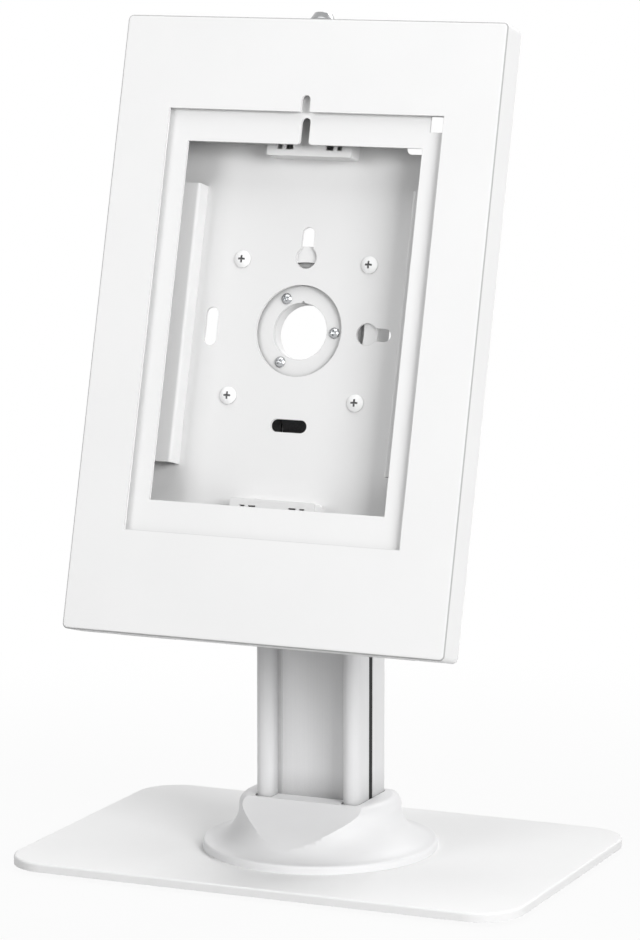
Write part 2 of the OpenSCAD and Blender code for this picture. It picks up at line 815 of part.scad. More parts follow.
module vesa_plate() {
    color(coat_white) in_head() difference() {
        union() {
            translate([0, 0, plate_back]) round_box(plate_w, plate_h, -plate_back, plate_corner_r);
            for (sx = [-1, 1])
                translate([sx * (plate_w - plate_flange_t) / 2, 0, -plate_flange / 2])
                    cube([plate_flange_t, plate_h - 2 * plate_corner_r, plate_flange], center = true);
        }
        translate([0, 0, rim_front]) cylinder(d = dish_d, h = cut - rim_front);
        translate([0, 0, plate_back - cut])
            cylinder(d = spigot_d + 2 * running_gap, h = cut - plate_back + cut);
        case_screw_places() translate([0, 0, plate_back - cut])
            cylinder(d = case_screw_d + 2 * screw_gap, h = cut - plate_back + cut);
    }
}

module vesa_screws() {
    color(coat_white) in_head() case_screw_places() translate([0, 0, sheet])
        cross_screw(case_screw_d, sheet - plate_back - 0.5, case_screw_head_r, case_screw_head_h);
}

// Case
// Both cover hinges, each from the middle of its knuckle along +X
module hinge_places() {
    for (sx = [-1, 1]) translate([sx * hinge_x, 0, 0]) across(hinge_y, hinge_z) children();
}

module tray_shell() {
    translate([0, case_mid, 0]) difference() {
        round_box(tray_w, tray_h, tray_depth, case_corner_r);
        translate([0, 0, sheet])
            round_box(tray_w - 2 * sheet, tray_h - 2 * sheet, tray_depth, case_corner_r - sheet);
    }
}

module tray() {
    room = knuckle_r + 2 * slip_gap;
    color(coat_white) in_head() difference() {
        union() {
            difference() {
                tray_shell();
                hinge_places() translate([-room, -room, -knuckle_len / 2 - hinge_side_gap])
                    cube([2 * room, 2 * room, knuckle_len + 2 * hinge_side_gap]);
            }
            hinge_places() for (start = [-hinge_pin_len / 2, hinge_pin_len / 2 - tray_knuckle_len])
                translate([0, 0, start]) cylinder(r = knuckle_r, h = tray_knuckle_len);
        }
        hinge_places() cylinder(d = hinge_pin_d + 2 * running_gap, h = hinge_pin_len + 2 * cut, center = true);
        translate([0, 0, -cut]) cylinder(d = hub_hole_d, h = sheet + 2 * cut);
        case_screw_places() translate([0, 0, -cut])
            cylinder(d = case_screw_d + 4 * screw_gap, h = sheet + 2 * cut);
        for (keyhole = [[0, 1, keyhole_len], [1, 0, side_keyhole_len]]) let(way = [keyhole[0], keyhole[1]]) {
            slot(way * keyhole_reach, way * (keyhole_reach + keyhole[2]), slot_w, sheet);
            translate([way[0] * keyhole_reach, way[1] * keyhole_reach, -cut])
                cylinder(d = keyhole_d, h = sheet + 2 * cut);
        }
        for (way = [[0, -1], [-1, 0]]) let(side = [way[1], way[0]] * (slot_len - slot_w) / 2)
            slot(way * slot_reach - side, way * slot_reach + side, slot_w, sheet);
        translate([camera_x + camera_hole / 2, camera_y + camera_hole / 2, -cut])
            round_box(camera_hole, camera_hole, sheet + 2 * cut, camera_hole * 0.15);
        translate([-lock_slot_half, 0, lock_z - lock_slot_half])
            cube([2 * lock_slot_half, case_h, tray_depth]);
    }
}

// Outline of a side rail's section with round folds, moved in from its faces and starting at a level
module rail_section(inset, level) {
    r = rail_fold_r - inset;
    top = rest_z - inset;
    translate([inset, level]) square([rail_w - 2 * inset, top - r - level]);
    translate([rail_fold_r, level]) square([rail_w - 2 * rail_fold_r, top - level]);
    for (x = [rail_fold_r, rail_w - rail_fold_r]) translate([x, top - r]) circle(r);
}

// Folded channel along Y that rests a tablet's back, its inner face at x = 0
module rail() {
    rotate([90, 0, 0]) linear_extrude(rail_len, center = true) difference() {
        rail_section(0, sheet);
        rail_section(rest_t, sheet - cut);
    }
}

module left_rail() {
    color(coat_white) in_head() translate([-rail_x, 0, 0]) mirror([1, 0, 0]) rail();
}

module right_rail() {
    color(coat_white) in_head() translate([rail_x, 0, 0]) rail();
}

// Pressed box that stops a tablet's end, its inner edge at y = 0
module end_bracket() {
    inside = rest_z - sheet - rest_t;
    outer_x = bracket_window_x + bracket_window_w + bracket_bridge;
    translate([0, 0, sheet]) difference() {
        translate([0, bracket_h / 2, 0]) round_box(bracket_w, bracket_h, rest_z - sheet, rest_t);
        translate([0, bracket_h / 2, -cut])
            round_box(bracket_w - 2 * rest_t, bracket_h - 2 * rest_t, inside + cut, rest_t / 4);
        for (sx = [0, 1]) mirror([sx, 0, 0]) {
            translate([bracket_window_x, bracket_window_y, 0]) cube([bracket_window_w, bracket_window_h, rest_z]);
            translate([outer_x, bracket_window_y, 0]) cube([bracket_outer_w, bracket_window_h, rest_z]);
        }
    }
}

module top_bracket() {
    color(coat_white) in_head() translate([0, bracket_y, 0]) end_bracket();
}

module bottom_bracket() {
    color(coat_white) in_head() translate([0, -bracket_y, 0]) mirror([0, 1, 0]) end_bracket();
}

// Upright plate that the cam turns into, with a foot on the tray
module lock_keeper() {
    cam_y = case_top + cam_z - cam_t / 2;
    bar_top = lock_z + cam_w / 2 + keeper_margin / 2 + keeper_bar;
    sweep = sqrt(cam_reach * cam_reach + cam_w * cam_w / 4 - keeper_x * keeper_x);
    window = [2 * cut + keeper_t, cam_t + 2 * keeper_margin, sweep + cam_w / 2 + keeper_margin];
    color(coat_white) in_head() difference() {
        translate([keeper_x, cam_y - keeper_h / 2, sheet]) {
            cube([keeper_t, keeper_h, bar_top - sheet]);
            cube([keeper_t + keeper_foot, keeper_h, keeper_t]);
        }
        translate([keeper_x - cut, cam_y - window[1] / 2, lock_z - sweep - keeper_margin / 2]) cube(window);
    }
}

module hinge_pins() {
    color(zinc) in_head() hinge_places() cylinder(d = hinge_pin_d, h = hinge_pin_len, center = true);
}

module front_cover() {
    inner_r = case_corner_r - sheet;
    tab = hinge_z - flange_z;
    color(coat_white) in_head() difference() {
        union() {
            difference() {
                translate([0, case_mid, flange_z])
                    soft_plate(case_w, case_h, cover_depth, case_corner_r, case_edge_r);
                translate([0, case_mid, flange_z - cut])
                    round_box(case_w - 2 * sheet, case_h - 2 * sheet, cover_depth - sheet + cut, inner_r);
            }
            hinge_places() cylinder(r = knuckle_r, h = knuckle_len, center = true);
            for (sx = [-1, 1])
                translate([sx * hinge_x - knuckle_len / 2, hinge_y - knuckle_r, hinge_z])
                    cube([knuckle_len, sheet, cut - tab]);
            for (p = studs) translate([p[0], p[1], stud_end]) cylinder(d = stud_d, h = case_depth - stud_end - 0.5);
        }
        translate([-window_w / 2, -window_h / 2, cover_back - cut]) cube([window_w, window_h, sheet + 2 * cut]);
        translate([0, 0, cover_back])
            slot([0, 0], [0, window_h / 2 + notch_h - notch_w / 2], notch_w, sheet);
        hinge_places() cylinder(d = hinge_pin_d + 2 * running_gap, h = knuckle_len + 2 * cut, center = true);
        translate([0, case_top + cut, lock_z]) rotate([90, 0, 0])
            cylinder(d = lock_d + 2 * screw_gap, h = sheet + 2 * cut);
    }
}

// Exchangeable frame behind the front cover's window
module mask_outline() {
    notch_top = mask_open_h / 2 + mask_notch_h - notch_w / 2;
    flare = notch_w / 2 + notch_corner_r;
    difference() {
        square([mask_w, mask_h], center = true);
        square([mask_open_w, mask_open_h], center = true);
        translate([-notch_w / 2, 0]) square([notch_w, notch_top]);
        translate([0, notch_top]) circle(d = notch_w);
        translate([0, mask_open_h / 2]) difference() {
            translate([-flare, -cut]) square([2 * flare, notch_corner_r + cut]);
            for (sx = [-1, 1]) translate([sx * flare, notch_corner_r]) circle(notch_corner_r);
        }
        translate([window_w / 2 - corner_notch, window_h / 2 - corner_notch]) square(mask_w);
        for (p = studs) translate(p) circle(d = stud_d + 4 * screw_gap);
    }
}

module mask() {
    color(coat_white) in_head() translate([0, 0, mask_back]) linear_extrude(mask_t) mask_outline();
}

module mask_spacers() {
    color(zinc) in_head()
        for (p = studs)
            translate([p[0], p[1], mask_front]) ring(spacer_r, stud_d / 2 + screw_gap, cover_back - mask_front);
}

module mask_nuts() {
    color(zinc) in_head() for (p = studs) translate([p[0], p[1], mask_back - stud_nut_h]) difference() {
        cylinder(r = stud_nut_r, h = stud_nut_h, $fn = 6);
        translate([0, 0, -cut]) cylinder(d = stud_d + 2 * screw_gap, h = stud_nut_h + 2 * cut);
    }
}

// Lock
module lock_body() {
    top_r = plug_d / 2 + 1;
    band = lock_head_h * 0.3;
    color(chrome) on_lock() difference() {
        rotate_extrude() polygon([[0, -lock_len], [lock_d / 2, -lock_len], [lock_d / 2, 0],
            [lock_head_d / 2, 0], [lock_head_d / 2, band], [top_r, lock_head_h], [0, lock_head_h]]);
        translate([0, 0, -lock_len - cut])
            cylinder(d = plug_d + 2 * running_gap, h = lock_len + lock_head_h + 2 * cut);
    }
}

module lock_nut() {
    color(zinc) on_lock() translate([0, 0, -sheet - lock_nut_h]) difference() {
        cylinder(r = lock_nut_r, h = lock_nut_h, $fn = 6);
        translate([0, 0, -cut]) cylinder(d = lock_d + 2 * screw_gap, h = lock_nut_h + 2 * cut);
    }
}

module lock_plug() {
    top = lock_head_h - 0.2;
    color(chrome) on_lock() difference() {
        union() {
            translate([0, 0, cam_z]) cylinder(d = plug_d, h = top - cam_z);
            translate([-tang / 2, -tang / 2, cam_z - cam_t]) cube([tang, tang, cam_t + cut]);
        }
        translate([-key_slot[0] / 2, -key_slot[1] / 2, top - key_slot[2]]) cube(key_slot + [0, 0, cut]);
        translate([0, 0, cam_z - cam_t - cut])
            cylinder(d = cam_screw_d + 2 * screw_gap, h = cam_screw_len + 2 * cut);
    }
}

module lock_cam() {
    hole = tang + 2 * screw_gap;
    color(zinc) on_lock() translate([0, 0, cam_z - cam_t]) difference() {
        union() {
            cylinder(d = plug_d + 4, h = cam_t);
            translate([-cam_w / 2, 0, 0]) cube([cam_w, cam_reach, cam_t]);
        }
        translate([-hole / 2, -hole / 2, -cut]) cube([hole, hole, cam_t + 2 * cut]);
    }
}

module cam_screw() {
    color(zinc) on_lock() translate([0, 0, cam_z - cam_t]) mirror([0, 0, 1])
        cross_screw(cam_screw_d, cam_screw_len, cam_screw_head_r, cam_screw_head_h);
}

base_plate();
rubber_feet();
post_bolts();
base_cover();
post_profile();
cable_cover();
slot_strips();
post_head();
head_screws();
tilt_bolt();
tilt_nut();
tilt_washers();
tilt_yoke();
hub_body();
hub_screws();
swivel_washers();
retainer_ring();
ring_screws();
vesa_plate();
tray();
vesa_screws();
left_rail();
right_rail();
top_bracket();
bottom_bracket();
lock_keeper();
hinge_pins();
front_cover();
mask();
mask_spacers();
mask_nuts();
lock_body();
lock_nut();
lock_plug();
lock_cam();
cam_screw();
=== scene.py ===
"""Dresses the tablet kiosk stand.

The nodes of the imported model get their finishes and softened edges. Screws, nuts, feet and the lock are
replaced by finer meshes. A studio with a pale floor, soft lamps and a camera is set up around them.
"""

import json
import logging
import math
from dataclasses import dataclass, field
from enum import Enum
from typing import Callable, Sequence

import bpy
from mathutils import Matrix, Vector

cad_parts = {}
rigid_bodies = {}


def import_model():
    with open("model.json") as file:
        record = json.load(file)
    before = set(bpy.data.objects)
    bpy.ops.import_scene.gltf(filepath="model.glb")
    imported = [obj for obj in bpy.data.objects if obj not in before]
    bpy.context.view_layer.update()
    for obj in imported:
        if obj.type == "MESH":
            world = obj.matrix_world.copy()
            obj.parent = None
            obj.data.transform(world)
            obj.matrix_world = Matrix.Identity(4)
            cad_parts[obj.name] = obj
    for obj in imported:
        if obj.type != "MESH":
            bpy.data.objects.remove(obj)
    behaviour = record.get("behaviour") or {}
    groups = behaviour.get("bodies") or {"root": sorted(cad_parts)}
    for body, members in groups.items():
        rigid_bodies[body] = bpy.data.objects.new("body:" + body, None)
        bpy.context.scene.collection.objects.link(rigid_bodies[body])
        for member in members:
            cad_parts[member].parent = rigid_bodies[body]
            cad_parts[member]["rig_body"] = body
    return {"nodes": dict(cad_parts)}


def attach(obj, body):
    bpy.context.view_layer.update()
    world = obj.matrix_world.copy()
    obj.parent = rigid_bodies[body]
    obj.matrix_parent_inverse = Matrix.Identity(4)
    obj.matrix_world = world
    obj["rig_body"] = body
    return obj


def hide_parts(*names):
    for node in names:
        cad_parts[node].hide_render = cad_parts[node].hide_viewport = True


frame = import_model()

LOG = logging.getLogger("kiosk_stand")
MM = 0.001

Colour = tuple[float, float, float]
Outline = Callable[[float], float]
Level = Callable[[float], float]

# Lean of the case from upright, in degrees.
LEAN = 15.0
# Mean of a noise.
MEAN = 0.5
# Turns a piece upside down.
OVER = Matrix.Rotation(math.pi, 4, "X")


class Wire:
    """One output socket of a node tree, for use in Python arithmetic."""

    def __init__(self, graph: "Graph", socket: bpy.types.NodeSocket | None) -> None:
        """Keeps the socket and the graph that it belongs to."""
        self.graph = graph
        self.socket = socket

    def _math(self, operation: str, first: "Wire | float", second: "Wire | float") -> "Wire":
        """Adds a Math node.

        Args:
            operation: the Math node's operation.
            first: its first value.
            second: its second value.

        Returns:
            The node's result.
        """
        return self.graph.node("ShaderNodeMath", {"operation": operation}, {0: first, 1: second})

    def __add__(self, other: "Wire | float") -> "Wire":
        """Returns self + other."""
        return self._math("ADD", self, other)

    def __radd__(self, other: float) -> "Wire":
        """Returns other + self."""
        return self._math("ADD", other, self)

    def __sub__(self, other: "Wire | float") -> "Wire":
        """Returns self - other."""
        return self._math("SUBTRACT", self, other)

    def __rsub__(self, other: float) -> "Wire":
        """Returns other - self."""
        return self._math("SUBTRACT", other, self)

    def __mul__(self, other: "Wire | float") -> "Wire":
        """Returns self * other."""
        return self._math("MULTIPLY", self, other)

    def __rmul__(self, other: float) -> "Wire":
        """Returns other * self."""
        return self._math("MULTIPLY", other, self)

    def __or__(self, other: "Wire | float") -> "Wire":
        """Returns the larger of self and other."""
        return self._math("MAXIMUM", self, other)

    def __ror__(self, other: float) -> "Wire":
        """Returns the larger of other and self."""
        return self._math("MAXIMUM", other, self)


class Graph:
    """Node tree of a material or a world, built from nothing."""

    def __init__(self, tree: bpy.types.NodeTree) -> None:
        """Empties the tree and keeps it."""
        tree.nodes.clear()
        self.tree = tree

    def node(
        self,
        kind: str,
        settings: dict[str, object] | None = None,
        inputs: dict[str | int, object] | None = None,
        output: str | int = 0,
    ) -> Wire:
        """Adds any node.

        Args:
            kind: the node's type.
            settings: its properties, set before its sockets.
            inputs: values or wires for its input sockets, by name or number.
            output: the output socket to return.

        Returns:
            The named output, or a wire without a socket for a node that has none.
        """
        made = self.tree.nodes.new(kind)
        for name, value in (settings or {}).items():
            setattr(made, name, value)
        for name, value in (inputs or {}).items():
            if isinstance(value, Wire):
                self.tree.links.new(value.socket, made.inputs[name])
            else:
                made.inputs[name].default_value = value
        return Wire(self, made.outputs[output] if len(made.outputs) else None)

    def place(self) -> Wire:
        """Returns the point on the piece, in metres, which moves with the piece."""
        return self.node("ShaderNodeTexCoord", output="Object")

    def stretch(self, vector: Wire, scale: Sequence[float]) -> Wire:
        """Returns a vector with each part scaled by its own factor."""
        return self.node("ShaderNodeVectorMath", {"operation": "MULTIPLY"}, {0: vector, 1: scale})

    def noise(self, vector: Wire, size: float, detail: float = 2.0) -> Wire:
        """Returns cloudy noise.

        Args:
            vector: where the noise is read.
            size: size of its clouds, in the vector's unit.
            detail: how many finer layers it has.

        Returns:
            A value from 0 to 1.
        """
        inputs = {"Vector": vector, "Scale": 1 / size, "Detail": detail}
        return self.node("ShaderNodeTexNoise", inputs=inputs)

    def ease(self, value: Wire, low: float, high: float) -> Wire:
        """Returns 0 below low, 1 above high and a smooth step between them."""
        return self.node(
            "ShaderNodeMapRange",
            {"interpolation_type": "SMOOTHSTEP"},
            {"Value": value, "From Min": low, "From Max": high},
        )

    def mix(self, factor: Wire, low: "Wire | Colour", high: "Wire | Colour") -> Wire:
        """Returns a colour between two others.

        Args:
            factor: 0 for the first colour, 1 for the second.
            low: the first colour.
            high: the second colour.

        Returns:
            The mixed colour.
        """
        ends = [end if isinstance(end, Wire) else (*end, 1.0) for end in (low, high)]
        return self.node("ShaderNodeMix", {"data_type": "RGBA"}, {0: factor, 6: ends[0], 7: ends[1]}, 2)

    def dot(self, first: Wire, second: "Wire | Sequence[float]") -> Wire:
        """Returns the dot product of two vectors."""
        settings = {"operation": "DOT_PRODUCT"}
        return self.node("ShaderNodeVectorMath", settings, {0: first, 1: second}, "Value")

    def edge(self, radius: float, samples: int = 4) -> Wire:
        """Finds edges.

        Args:
            radius: how far from an edge it is felt, in metres.
            samples: how many rays look for an edge.

        Returns:
            1 along outer and inner edges, 0 on open faces.
        """
        rounded = self.node("ShaderNodeBevel", {"samples": samples}, {"Radius": radius})
        facing = self.node("ShaderNodeNewGeometry", output="Normal")
        return self.ease(1 - self.dot(rounded, facing), low=0.01, high=0.16)

    def painted_corner_shade(self, unshaded: Wire, colour: Colour, dust_and_painted_shade: float, reach: float, samples: int = 8) -> Wire:
        """Paints shade into a colour deep in corners, where ambient occlusion finds other surfaces near.

        Args:
            unshaded: the colour without the painted shade.
            colour: the plain colour under the painted shade.
            dust_and_painted_shade: how much darker the painted shade makes it, from 0 to 1.
            reach: how far from a corner the painted shade reaches, in metres.
            samples: how many rays look for a corner.

        Returns:
            The colour with painted shade in its corners, or the unshaded one where none is painted.
        """
        if not dust_and_painted_shade:
            return unshaded
        # Ambient occlusion paints shade: darker where other surfaces are near.
        free = self.node("ShaderNodeAmbientOcclusion", {"samples": samples}, {"Distance": reach}, "AO")
        return self.mix(free, shaded(colour, 1 - dust_and_painted_shade), unshaded)

    def bump(self, height: Wire, depth: float) -> Wire:
        """Returns a normal that a height from 0 to 1 raises by a depth in metres."""
        return self.node("ShaderNodeBump", {}, {"Strength": 1.0, "Distance": depth, "Height": height})

    def surface(self, inputs: dict[str, object]) -> Wire:
        """Returns a Principled surface with the given socket values and wires."""
        return self.node("ShaderNodeBsdfPrincipled", {}, inputs)


def grey(level: float) -> Colour:
    """Returns a neutral colour."""
    return (level, level, level)


def shaded(colour: Colour, factor: float) -> Colour:
    """Returns a colour times a factor."""
    return tuple(min(1.0, part * factor) for part in colour)


@dataclass(frozen=True)
class Finish:
    """A finish of one of the record's material slots.

    Attributes:
        name: name of its material.
        slot: the record's material slot; not used.
        colour: linear colour of the clean surface.
        roughness: mean roughness.
    """

    name: str
    slot: str
    colour: Colour
    roughness: float

    def material(self) -> bpy.types.Material:
        """Makes the material the first time it is asked for.

        Returns:
            The material.
        """
        made = bpy.data.materials.get(self.name)
        if made is None:
            made = bpy.data.materials.new(self.name)
            made.use_nodes = True
            graph = Graph(made.node_tree)
            graph.node("ShaderNodeOutputMaterial", inputs={"Surface": self.look(graph)})
        return made

    def look(self, graph: Graph) -> Wire:
        """Returns the surface shader."""
        raise NotImplementedError


@dataclass(frozen=True)
class PowderCoat(Finish):
    """Baked powder on steel: a fine orange peel, thinner and smoother along the edges.

    Attributes:
        peel: size of the orange peel, in metres.
        peel_depth: height of the orange peel, in metres.
        cloud: size of the clouds in its tone, in metres.
        cloud_tone: tone of the darker clouds, as a share of the colour.
        cloud_matt: change of roughness over the clouds.
        grain_matt: change of roughness over the finest grain.
        thin_coat_and_edge_shade: tone along an edge, as a share of the colour; slightly darker for a
            thinner coat, painted shade in ShadedFoldedCoat.
        edge_r: how far from an edge that tone reaches, in metres.
        edge_shine: how much smoother the thin coat is.
        gloss: level of its mirror reflection, 0.5 for a bare varnish.
        dust_and_painted_shade: how much darker painted shade makes the coat deep in corners.
        painted_shade_reach: how far from a corner the painted shade reaches, in metres.
    """

    peel: float = 1.1 * MM
    peel_depth: float = 0.012 * MM
    cloud: float = 55 * MM
    cloud_tone: float = 0.985
    cloud_matt: float = 0.10
    grain_matt: float = 0.08
    thin_coat_and_edge_shade: float = 0.97
    edge_r: float = 0.9 * MM
    edge_shine: float = 0.08
    gloss: float = 0.15
    dust_and_painted_shade: float = 0.0
    painted_shade_reach: float = 30 * MM

    def thin_and_shaded_edges(self, graph: Graph) -> Wire:
        """Returns 1 along edges, where the coat is thinner, and 0 elsewhere."""
        return graph.edge(self.edge_r)

    def look(self, graph: Graph) -> Wire:
        """Makes the coat.

        Args:
            graph: node tree of the material.

        Returns:
            The surface shader.
        """
        place = graph.place()
        cloud = graph.noise(place, self.cloud, detail=3.0)
        # Mask along edges: a thinner coat here, and painted shade on edges and folds in ShadedFoldedCoat.
        edge = self.thin_and_shaded_edges(graph)
        dark = shaded(self.colour, self.cloud_tone)
        tone = graph.mix(graph.ease(cloud, low=0.3, high=0.7), dark, self.colour)
        peel = graph.noise(place, self.peel, detail=1.0)
        grain = graph.noise(place, 0.3 * self.peel, detail=1.0)
        # Darker tone along that mask; where it is strong, it is painted shade.
        coat = graph.mix(edge, tone, shaded(self.colour, self.thin_coat_and_edge_shade))
        matt = self.roughness + self.cloud_matt * (cloud - MEAN) + self.grain_matt * (grain - MEAN)
        return graph.surface({
            # Painted shade deep in corners, from ambient occlusion.
            "Base Color": graph.painted_corner_shade(coat, self.colour, self.dust_and_painted_shade, self.painted_shade_reach),
            "Roughness": matt - self.edge_shine * edge,
            "Specular IOR Level": self.gloss,
            "Normal": graph.bump(0.75 * peel + 0.25 * grain, self.peel_depth),
        })


@dataclass(frozen=True)
class ShadedFoldedCoat(PowderCoat):
    """Powder coat with painted shade along its cut edges, over the folds of the head's sheet and in
    corners.

    Attributes:
        thin_coat_and_edge_shade: tone of the painted shade along edges and folds, as a share of the colour.
        edge_r: how far from an edge the painted shade reaches, in metres.
        dust_and_painted_shade: how much darker painted shade makes the coat deep in corners.
    """

    thin_coat_and_edge_shade: float = 0.5
    edge_r: float = 0.4 * MM
    dust_and_painted_shade: float = 0.15

    def thin_and_shaded_edges(self, graph: Graph) -> Wire:
        """Finds where shade is painted: along edges and on the folds between the front and the sides.

        Args:
            graph: node tree of the material.

        Returns:
            1 where shade is painted, 0 on flat faces.
        """
        turn = math.radians(LEAN)
        front = (0.0, -math.cos(turn), math.sin(turn))
        along = graph.dot(graph.node("ShaderNodeTexCoord", output="Normal"), front)
        facing = along | (0.0 - along)
        # The fold mask paints shade on rounded folds, whose normals lie between the front and the side.
        fold = graph.ease(facing, low=0.2, high=0.4) * (1 - graph.ease(facing, low=0.8, high=0.92))
        return fold | graph.edge(self.edge_r)


@dataclass(frozen=True)
class Moulding(Finish):
    """Moulded plastic with a spark-eroded grain.

    Attributes:
        grain: size of the grain, in metres.
        grain_depth: height of the grain, in metres.
        grain_matt: change of roughness over the grain.
        flow: size of the flow marks, in metres.
        flow_tone: tone of the darker flow marks, as a share of the colour.
        flow_matt: change of roughness over the flow marks.
        edge_r: how far from an edge the plastic is paler, in metres.
        edge_tone: tone along an edge, as a share of the colour.
        gloss: level of its mirror reflection.
    """

    grain: float = 0.35 * MM
    grain_depth: float = 0.006 * MM
    grain_matt: float = 0.10
    flow: float = 40 * MM
    flow_tone: float = 0.98
    flow_matt: float = 0.08
    edge_r: float = 0.7 * MM
    edge_tone: float = 1.02
    gloss: float = 0.25

    def look(self, graph: Graph) -> Wire:
        """Makes the plastic.

        Args:
            graph: node tree of the material.

        Returns:
            The surface shader.
        """
        place = graph.place()
        flow = graph.noise(graph.stretch(place, (1, 1, 3)), self.flow)
        grain = graph.noise(place, self.grain, detail=1.0)
        edge = graph.edge(self.edge_r)
        dark = shaded(self.colour, self.flow_tone)
        tone = graph.mix(graph.ease(flow, low=0.3, high=0.7), dark, self.colour)
        matt = self.roughness + self.flow_matt * (flow - MEAN) + self.grain_matt * (grain - MEAN)
        return graph.surface({
            "Base Color": graph.mix(edge, tone, shaded(self.colour, self.edge_tone)),
            "Roughness": matt,
            "Specular IOR Level": self.gloss,
            "Normal": graph.bump(grain, self.grain_depth),
        })


@dataclass(frozen=True)
class Extrusion(Finish):
    """Painted aluminium extrusion with faint lines from the die along its length.

    Attributes:
        line: distance between die lines, in metres.
        line_along: how fast the lines change along the extrusion, as a share of across it.
        line_depth: depth of the die lines, in metres.
        line_tone: tone of the darker lines, as a share of the colour.
        line_matt: change of roughness over the lines.
        cloud: size of the clouds in its gloss, in metres.
        cloud_along: how fast the clouds change along the extrusion, as a share of across it.
        cloud_matt: change of roughness over the clouds.
        grain: size of the paint's grain, in metres.
        edge_r: how far from an edge the paint is paler, in metres.
        edge_tone: tone along an edge, as a share of the colour.
        dust_and_painted_shade: how much darker painted shade makes the paint deep in corners.
        painted_shade_reach: how far from a corner the painted shade reaches, in metres.
    """

    line: float = 0.45 * MM
    line_along: float = 0.004
    line_depth: float = 0.004 * MM
    line_tone: float = 0.975
    line_matt: float = 0.08
    cloud: float = 30 * MM
    cloud_along: float = 0.35
    cloud_matt: float = 0.08
    grain: float = 0.3 * MM
    edge_r: float = 0.6 * MM
    edge_tone: float = 1.03
    dust_and_painted_shade: float = 0.62
    painted_shade_reach: float = 16 * MM

    def look(self, graph: Graph) -> Wire:
        """Makes the paint.

        Args:
            graph: node tree of the material.

        Returns:
            The surface shader.
        """
        place = graph.place()
        lines = graph.noise(graph.stretch(place, (1, 1, self.line_along)), self.line)
        cloud = graph.noise(graph.stretch(place, (1, 1, self.cloud_along)), self.cloud)
        grain = graph.noise(place, self.grain, detail=1.0)
        edge = graph.edge(self.edge_r)
        dark = shaded(self.colour, self.line_tone)
        tone = graph.mix(graph.ease(lines, low=0.25, high=0.75), dark, self.colour)
        paint = graph.mix(edge, tone, shaded(self.colour, self.edge_tone))
        matt = self.roughness + self.cloud_matt * (cloud - MEAN) + self.line_matt * (lines - MEAN)
        return graph.surface({
            # Painted shade deep in corners, from ambient occlusion.
            "Base Color": graph.painted_corner_shade(paint, self.colour, self.dust_and_painted_shade, self.painted_shade_reach),
            "Roughness": matt,
            "Normal": graph.bump(0.8 * lines + 0.2 * grain, self.line_depth),
        })


@dataclass(frozen=True)
class CastCoat(Finish):
    """Dark textured coat on a casting, worn to a lighter grey along its edges.

    Attributes:
        grain: size of the casting's grain, in metres.
        grain_depth: height of the grain, in metres.
        grain_tones: tones of its low and high spots, as shares of the colour.
        grain_matt: change of roughness over the grain.
        patch: size of the worn patches, in metres.
        edge_r: how far from an edge the coat wears, in metres.
        worn_tone: tone of worn edges, as a share of the colour.
        worn_shine: how much smoother worn edges are.
        gloss: level of its mirror reflection.
    """

    grain: float = 0.9 * MM
    grain_depth: float = 0.035 * MM
    grain_tones: tuple[float, float] = (0.8, 1.15)
    grain_matt: float = 0.15
    patch: float = 12 * MM
    edge_r: float = 0.6 * MM
    worn_tone: float = 2.0
    worn_shine: float = 0.12
    gloss: float = 0.3

    def look(self, graph: Graph) -> Wire:
        """Makes the coat.

        Args:
            graph: node tree of the material.

        Returns:
            The surface shader.
        """
        place = graph.place()
        grain = graph.noise(place, self.grain, detail=3.0)
        patch = graph.noise(place, self.patch)
        worn = graph.edge(self.edge_r) * graph.ease(patch + 0.3 * grain, low=0.5, high=0.8)
        low, high = [shaded(self.colour, tone) for tone in self.grain_tones]
        tone = graph.mix(graph.ease(grain, low=0.35, high=0.65), low, high)
        return graph.surface({
            "Base Color": graph.mix(worn, tone, shaded(self.colour, self.worn_tone)),
            "Roughness": self.roughness + self.grain_matt * (grain - MEAN) - self.worn_shine * worn,
            "Specular IOR Level": self.gloss,
            "Normal": graph.bump(grain, self.grain_depth),
        })


@dataclass(frozen=True)
class Rubber(Finish):
    """Moulded rubber with a matt grain and pale dust in patches.

    Attributes:
        grain: size of the grain, in metres.
        grain_depth: height of the grain, in metres.
        grain_matt: change of roughness over the grain.
        patch: size of the dusty patches, in metres.
        dust_tone: tone of the dust, as a multiple of the colour.
        dust_matt: how much rougher the dust is.
        gloss: level of its mirror reflection.
    """

    grain: float = 0.4 * MM
    grain_depth: float = 0.012 * MM
    grain_matt: float = 0.10
    patch: float = 9 * MM
    dust_tone: float = 1.9
    dust_matt: float = 0.08
    gloss: float = 0.25

    def look(self, graph: Graph) -> Wire:
        """Makes the rubber.

        Args:
            graph: node tree of the material.

        Returns:
            The surface shader.
        """
        place = graph.place()
        grain = graph.noise(place, self.grain)
        dust_and_painted_shade = graph.ease(graph.noise(place, self.patch, detail=3.0), low=0.45, high=0.8)
        return graph.surface({
            "Base Color": graph.mix(dust_and_painted_shade, self.colour, shaded(self.colour, self.dust_tone)),
            "Roughness": self.roughness + self.grain_matt * (grain - MEAN) + self.dust_matt * dust_and_painted_shade,
            "Specular IOR Level": self.gloss,
            "Normal": graph.bump(grain, self.grain_depth),
        })


